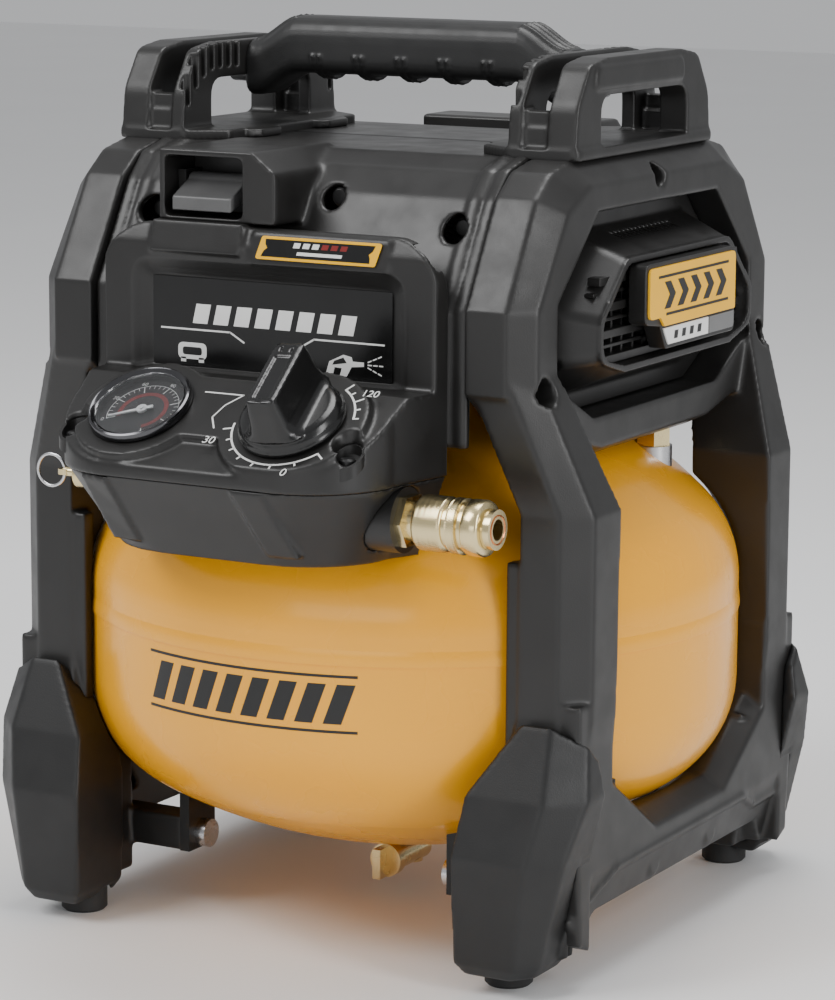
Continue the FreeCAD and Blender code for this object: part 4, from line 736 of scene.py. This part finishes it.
# Prints on the panel: generic bars, lines and symbols, and numbers on the two scales only.
def numeral(text, size, matrix, thick=0.06):
    curve = bpy.data.curves.new("numeral", "FONT")
    curve.body, curve.size, curve.extrude = text, size, thick
    curve.align_x, curve.align_y = "CENTER", "CENTER"
    holder = bpy.data.objects.new("numeral", curve)
    bpy.context.scene.collection.objects.link(holder)
    mesh = bpy.data.meshes.new_from_object(holder.evaluated_get(bpy.context.evaluated_depsgraph_get()))
    bpy.data.objects.remove(holder)
    made = bmesh.new()
    made.from_mesh(mesh)
    bpy.data.meshes.remove(mesh)
    bmesh.ops.remove_doubles(made, verts=made.verts, dist=1e-4)
    made.transform(matrix)
    return made


def stroke(points, wide, low=0.0, high=0.12):
    """Flat printed line through (x, y) points, standing from low to high."""
    forms = []
    for a, b in zip(points, points[1:]):
        a, b = Vector(a), Vector(b)
        along = (b - a).normalized() * wide / 2
        side = Vector((-along.y, along.x))
        forms.append(prism([tuple(a - along * 0.6 + side), tuple(b + along * 0.6 + side),
                            tuple(b + along * 0.6 - side), tuple(a - along * 0.6 - side)], "z", low, high))
    return forms


def arc_points(cx, cy, r, start, end, steps):
    return [(cx + r * math.cos(math.radians(start + (end - start) * k / steps)),
             cy + r * math.sin(math.radians(start + (end - start) * k / steps))) for k in range(steps + 1)]


def arc_band(cx, cy, r0, r1, start, end, steps, low, high):
    outline = arc_points(cx, cy, r1, start, end, steps) + arc_points(cx, cy, r0, end, start, steps)
    return prism(outline, "z", low, high)


scale = [arc_band(DIAL_X, 0, 26.2, 27.1, -172, -40, 40, 0, 0.12),
         arc_band(DIAL_X, 0, 26.2, 27.1, 12, 58, 14, 0, 0.12)]
for angle in (-165, -150, -135, -120, -102, -84, -62, -40, 12, 24, 36, 48, 58):
    long = 4.2 if angle in (-165, -40, 36, 58) else 2.2
    c, s = math.cos(math.radians(angle)), math.sin(math.radians(angle))
    scale += stroke([(DIAL_X + SCALE_R * c, SCALE_R * s),
                     (DIAL_X + (SCALE_R + long) * c, (SCALE_R + long) * s)], 0.8)
scale += stroke([(-12.5, 13.5), (6.5, 13.5), (1.0, 6.5), (-1.2, -1.5), (3.0, -8.0)], 0.7)
for text, x, y, size in (("30", 4.6, -15.6, 6.0), ("0", 48.0, -30.2, 6.0), ("120", 64.0, 21.5, 5.6)):
    scale.append(numeral(text, size, Matrix.Translation((x, y, 0.06))))
crisp("regulator_scale_print", [on_deck(f) for f in scale], CHASSIS, "label_film", look=WHITE)


def on_label(made):
    """Lays a flat print, drawn in (x, z), on the label film."""
    made.transform(Matrix.Translation((0, LABEL_FACE_Y, 0)) @ Matrix.Rotation(math.radians(90), 4, "X"))
    return made


prints = []
for k in range(8):
    x = -39.5 + 10.4 * k
    prints.append(prism([(x, 277), (x + 7.4, 277), (x + 9.4, 285.5), (x + 2.0, 285.5)], "z", 0, PRINT_PROUD))
prints += stroke([(-55.6, 274.2), (-20.5, 274.2), (-13.5, 270.2)], 0.75)
prints += stroke([(14.5, 270.2), (21.5, 274.2), (55.8, 274.2)], 0.75)
tank_icon = rounded([(-47, 261.2), (-47, 268.4), (-32.5, 268.4), (-32.5, 261.2)], 2.6, 4)
prints.append(prism(tank_icon, "z", 0, PRINT_PROUD))
for x in (-45.6, -36.5):
    prints.append(prism([(x, 259.9), (x + 2.6, 259.9), (x + 2.6, 262), (x, 262)], "z", 0, PRINT_PROUD))
blow_gun = [(27.5, 260.5), (29, 265.5), (36, 268.8), (40, 268.0), (40.5, 266.2), (46, 266.2), (46, 264.4),
            (40, 263.8), (37.6, 259.6), (34.2, 259.6), (35.2, 263), (31.6, 263.2), (31, 260.5)]
prints.append(prism(blow_gun, "z", 0, PRINT_PROUD))
for x, z, dx, dz in ((48, 266.4, 6.5, 2.8), (48, 265.2, 7.2, 0.0), (48, 264, 6.5, -2.8)):
    for j in (0.0, 0.38, 0.76):
        prints += stroke([(x + dx * j, z + dz * j), (x + dx * (j + 0.24), z + dz * (j + 0.24))], 0.55)
crisp("label_print", [on_label(f) for f in prints], CHASSIS, "label_film", look=WHITE)
icon_holes = [rounded([(-44.6, 263.1), (-44.6, 266.5), (-34.9, 266.5), (-34.9, 263.1)], 1.2, 3),
              [(30.6, 264.2), (31.6, 266), (36, 267.6), (37.6, 265.4)]]
crisp("label_print_dark", [on_label(prism(hole, "z", 0.1, 0.2)) for hole in icon_holes], CHASSIS,
      "label_film", look=PRINT_BLACK)


# Decal on the forehead: notched black field in a yellow border with plain bars.
def on_forehead(made):
    """Lays a flat print, drawn in (x, height), on the leaning seat of the forehead."""
    lean = math.atan2(2.0, 12.0)
    tilt = Matrix.Rotation(math.radians(90) - lean, 4, "X")
    made.transform(Matrix.Translation((0, DECAL_Y, DECAL_Z)) @ tilt)
    return made


def decal_bar(x):
    return on_forehead(prism([(x, 7.2), (x + 3.2, 7.2), (x + 3.9, 9.4), (x + 0.7, 9.4)], "z", 0.6, 0.7))


border = rounded([(-4.6, 1.6), (-1.6, 11.6), (57.2, 11.6), (54.2, 1.6)], 1.2, 3)
field = [(-1.6, 2.9), (-0.2, 5.4), (1.4, 6.6), (0.4, 8.2), (0.4, 10.4), (54.0, 10.4), (52.8, 8.0),
         (51.0, 6.6), (51.6, 5.0), (51.6, 2.9)]
crisp("forehead_decal_border", [on_forehead(prism(border, "z", 0, 0.5))], CHASSIS, "badge_yellow", 0.15)
crisp("forehead_decal_field", [on_forehead(prism(field, "z", 0.4, 0.62))], CHASSIS, "label_film")
line = on_forehead(prism([(16, 4.2), (38, 4.2), (38.4, 5.6), (16.4, 5.6)], "z", 0.6, 0.7))
crisp("forehead_decal_bars", [decal_bar(x) for x in (14, 18.6, 23.2)] + [line], CHASSIS, "label_film",
      look=WHITE)
crisp("forehead_decal_red_bars", [decal_bar(x) for x in (27.8, 32.4, 37.0)], CHASSIS, "label_film", look=RED)

# Gauge: rounded bezel over a black flange, printed scale and dark red inner zone.
bezel = lathe([(19.9, 0.6), (22.9, 0.5), (23.0, 2.6), (22.5, 3.7), (21.7, 4.1), (21.0, 3.7),
               (20.4, 2.9), (19.9, 2.6)], 96, ring=True)
crisp("gauge_bezel_ring", [on_deck(bezel, -DIAL_X)], CHASSIS, "dark_chrome", stands_for=["gauge_bezel"])
ticks = []
for k in range(31):
    angle = 205 - 9 * k
    r0, r1 = (12.2, 16.0) if k % 5 == 0 else (14.2, 16.0)
    c, s = math.cos(math.radians(angle)), math.sin(math.radians(angle))
    ticks += stroke([(r0 * c, r0 * s), (r1 * c, r1 * s)], 0.42 if k % 5 == 0 else 0.22, 0, 0.05)
ticks.append(arc_band(0, 0, 16.0, 16.25, -65, 205, 60, 0, 0.05))
for k, text in enumerate(("0", "30", "60", "90", "120", "150", "180")):
    angle = math.radians(205 - 45 * k)
    spot = Matrix.Translation((17.91 * math.cos(angle), 18.0 * math.sin(angle), 0.0))
    ticks.append(numeral(text, 2.9, spot, 0.03))
for form in ticks:
    form.transform(Matrix.Translation((0, 0, DIAL_FACE)))
crisp("gauge_scale_print", [on_deck(f, -DIAL_X) for f in ticks], CHASSIS, "dial_face", look=WHITE)
zone = [arc_band(0, 0, 9.6, 11.6, -65, 205, 60, DIAL_FACE, DIAL_FACE + 0.05)]
crisp("gauge_inner_zone", [on_deck(f, -DIAL_X) for f in zone], CHASSIS, "dial_face", look=RED)

# Regulator knob: flared skirt and a tall waisted grip bar.
skirt = lathe([(0, 0.7), (23.2, 0.7), (23.4, 2.4), (22.6, 3.4), (22.4, 5.0), (20.6, 7.4), (18.4, 8.3),
               (0, 8.3)], 96)


def knob_ring(wide, long, z, corner):
    return [(x, y, z) for x, y in rounded([(-wide, -long), (wide, -long), (wide, long), (-wide, long)],
                                          corner, 4)]


bar = skin([knob_ring(14.0, 22.0, 7.2, 8), knob_ring(10.5, 21.6, 10.0, 6), knob_ring(8.8, 21.0, 14.0, 4.5),
            knob_ring(7.6, 20.2, 21.0, 3.5), knob_ring(6.6, 19.2, 27.0, 2.5)])
rails = [block(-5.0, 5.0, -17.5, 17.5, 26.4, 27.3)]
dents = [block(-3.9, 3.9, -16.3, 10.5, 26.5, 28.0), block(-3.0, -1.9, 12.6, 16.2, 26.2, 28.0),
         block(1.9, 3.0, 12.6, 16.2, 26.2, 28.0)]
stem = lathe([(0, -24), (4.0, -24), (4.0, 2), (0, 2)], 32)
knob_mesh = moulded([on_deck(f, DIAL_X, 6) for f in [skirt, bar, stem] + rails],
                    [on_deck(f, DIAL_X, 6) for f in dents], voxel=0.5, melt=3)
show("regulator_knob_moulding", knob_mesh, "regulator_dial", "knob_plastic", stands_for=["regulator_knob"])

# Switch lever.
lever_mesh = moulded([cad("switch_lever")], voxel=0.6, melt=3)
show("switch_lever_moulding", lever_mesh, "power_lever", "switch_plastic", stands_for=["switch_lever"])


# Coupler: diamond-knurled sleeve with plain grooves, hexagon and copper-coloured seat.
def knurl(angle, along):
    return 0.22 * (abs(math.sin(36 * angle + along * 1.9)) + abs(math.sin(36 * angle - along * 1.9)))


def knurled_band(start, count):
    """Stations of a knurled stretch: (height, radius, knurled)."""
    return [(start + 0.45 * k, 11.45, 1) for k in range(count)]


def knurled_sleeve():
    sides, rings = 216, []
    stations = [(0.0, 8.6, 0), (0.0, 11.0, 0), (0.6, 11.5, 0)] + knurled_band(1.0, 27)
    stations += [(13.3, 11.2, 0), (13.8, 10.4, 0), (15.6, 10.4, 0), (16.1, 11.9, 0)] + knurled_band(16.6, 8)
    stations += [(20.4, 11.9, 0), (20.9, 10.6, 0), (22.7, 10.6, 0), (23.2, 11.6, 0), (23.8, 12.0, 0),
                 (29.4, 12.0, 0), (30.6, 11.4, 0), (31.0, 10.6, 0), (31.0, 8.6, 0)]
    for z, r, rough in stations:
        ring = []
        for j in range(sides):
            angle = 2 * math.pi * j / sides
            reach = r + (knurl(angle, z) if rough else 0)
            ring.append((reach * math.cos(angle), reach * math.sin(angle), z))
        rings.append(ring)
    return skin(rings, closed=True)


crisp("coupler_sleeve_knurled", [along_x(knurled_sleeve(), SLEEVE_START, COUPLER_Y, COUPLER_Z)],
      "release_sleeve", "brass", stands_for=["coupler_sleeve"], angle=50)
seat = lathe([(4.52, 0.0), (6.4, 0.0), (6.4, 0.35), (6.0, 0.45), (4.9, -0.6), (4.52, -1.6)], 48, ring=True)
crisp("coupler_seat_ring", [along_x(seat, SEAT_X, COUPLER_Y, COUPLER_Z)], CHASSIS, "brass", look=COPPER)

# ------------------------------------------------------------------ floor, light and camera
floor_mesh = bpy.data.meshes.new("floor")
floor_bm = bmesh.new()
bmesh.ops.create_grid(floor_bm, x_segments=2, y_segments=2, size=6.0)
floor_bm.to_mesh(floor_mesh)
floor_bm.free()
floor = bpy.data.objects.new("floor", floor_mesh)
bpy.context.scene.collection.objects.link(floor)
floor_mesh.materials.append(finish_of("floor", (0.86, 0.86, 0.86), 0.6, 0.01, 3, 0, 900, 0.05))


def area_light(name, where, aim, size, power, colour=(1, 1, 1)):
    lamp = bpy.data.lights.new(name, "AREA")
    lamp.shape = "RECTANGLE"
    lamp.size, lamp.size_y = size
    lamp.energy = power
    lamp.color = colour
    holder = bpy.data.objects.new(name, lamp)
    bpy.context.scene.collection.objects.link(holder)
    holder.location = where
    holder.rotation_euler = (Vector(aim) - Vector(where)).to_track_quat("-Z", "Y").to_euler()


area_light("key", (-0.9, -1.2, 1.7), (0, 0, 0.2), (1.0, 1.0), 24)
area_light("right_fill", (1.9, -0.6, 0.9), (0, 0, 0.25), (0.5, 1.4), 20)
area_light("top", (0.1, 0.3, 1.9), (0, 0, 0.2), (0.9, 0.9), 20)
area_light("front_low", (0.3, -2.2, 0.5), (0, 0, 0.2), (1.6, 0.5), 5)

world = bpy.data.worlds.new("studio")
world.use_nodes = True
socket(world.node_tree.nodes["Background"], "Color", (0.93, 0.94, 0.96, 1))
socket(world.node_tree.nodes["Background"], "Strength", 0.55)
bpy.context.scene.world = world

camera_data = bpy.data.cameras.new("camera")
camera_data.sensor_width = 36.0
camera_data.lens = 131.49
camera = bpy.data.objects.new("camera", camera_data)
bpy.context.scene.collection.objects.link(camera)
yaw, pitch, roll = 29.157, 10.50, -0.333
camera.location = (0.8088, -1.4466, 0.4900)
turn_yaw = Matrix.Rotation(math.radians(yaw), 3, "Z")
turn_pitch = Matrix.Rotation(math.radians(90 - pitch), 3, "X")
turn_roll = Matrix.Rotation(math.radians(-roll), 3, "Z")
camera.rotation_euler = (turn_yaw @ turn_pitch @ turn_roll).to_euler()
bpy.context.scene.camera = camera
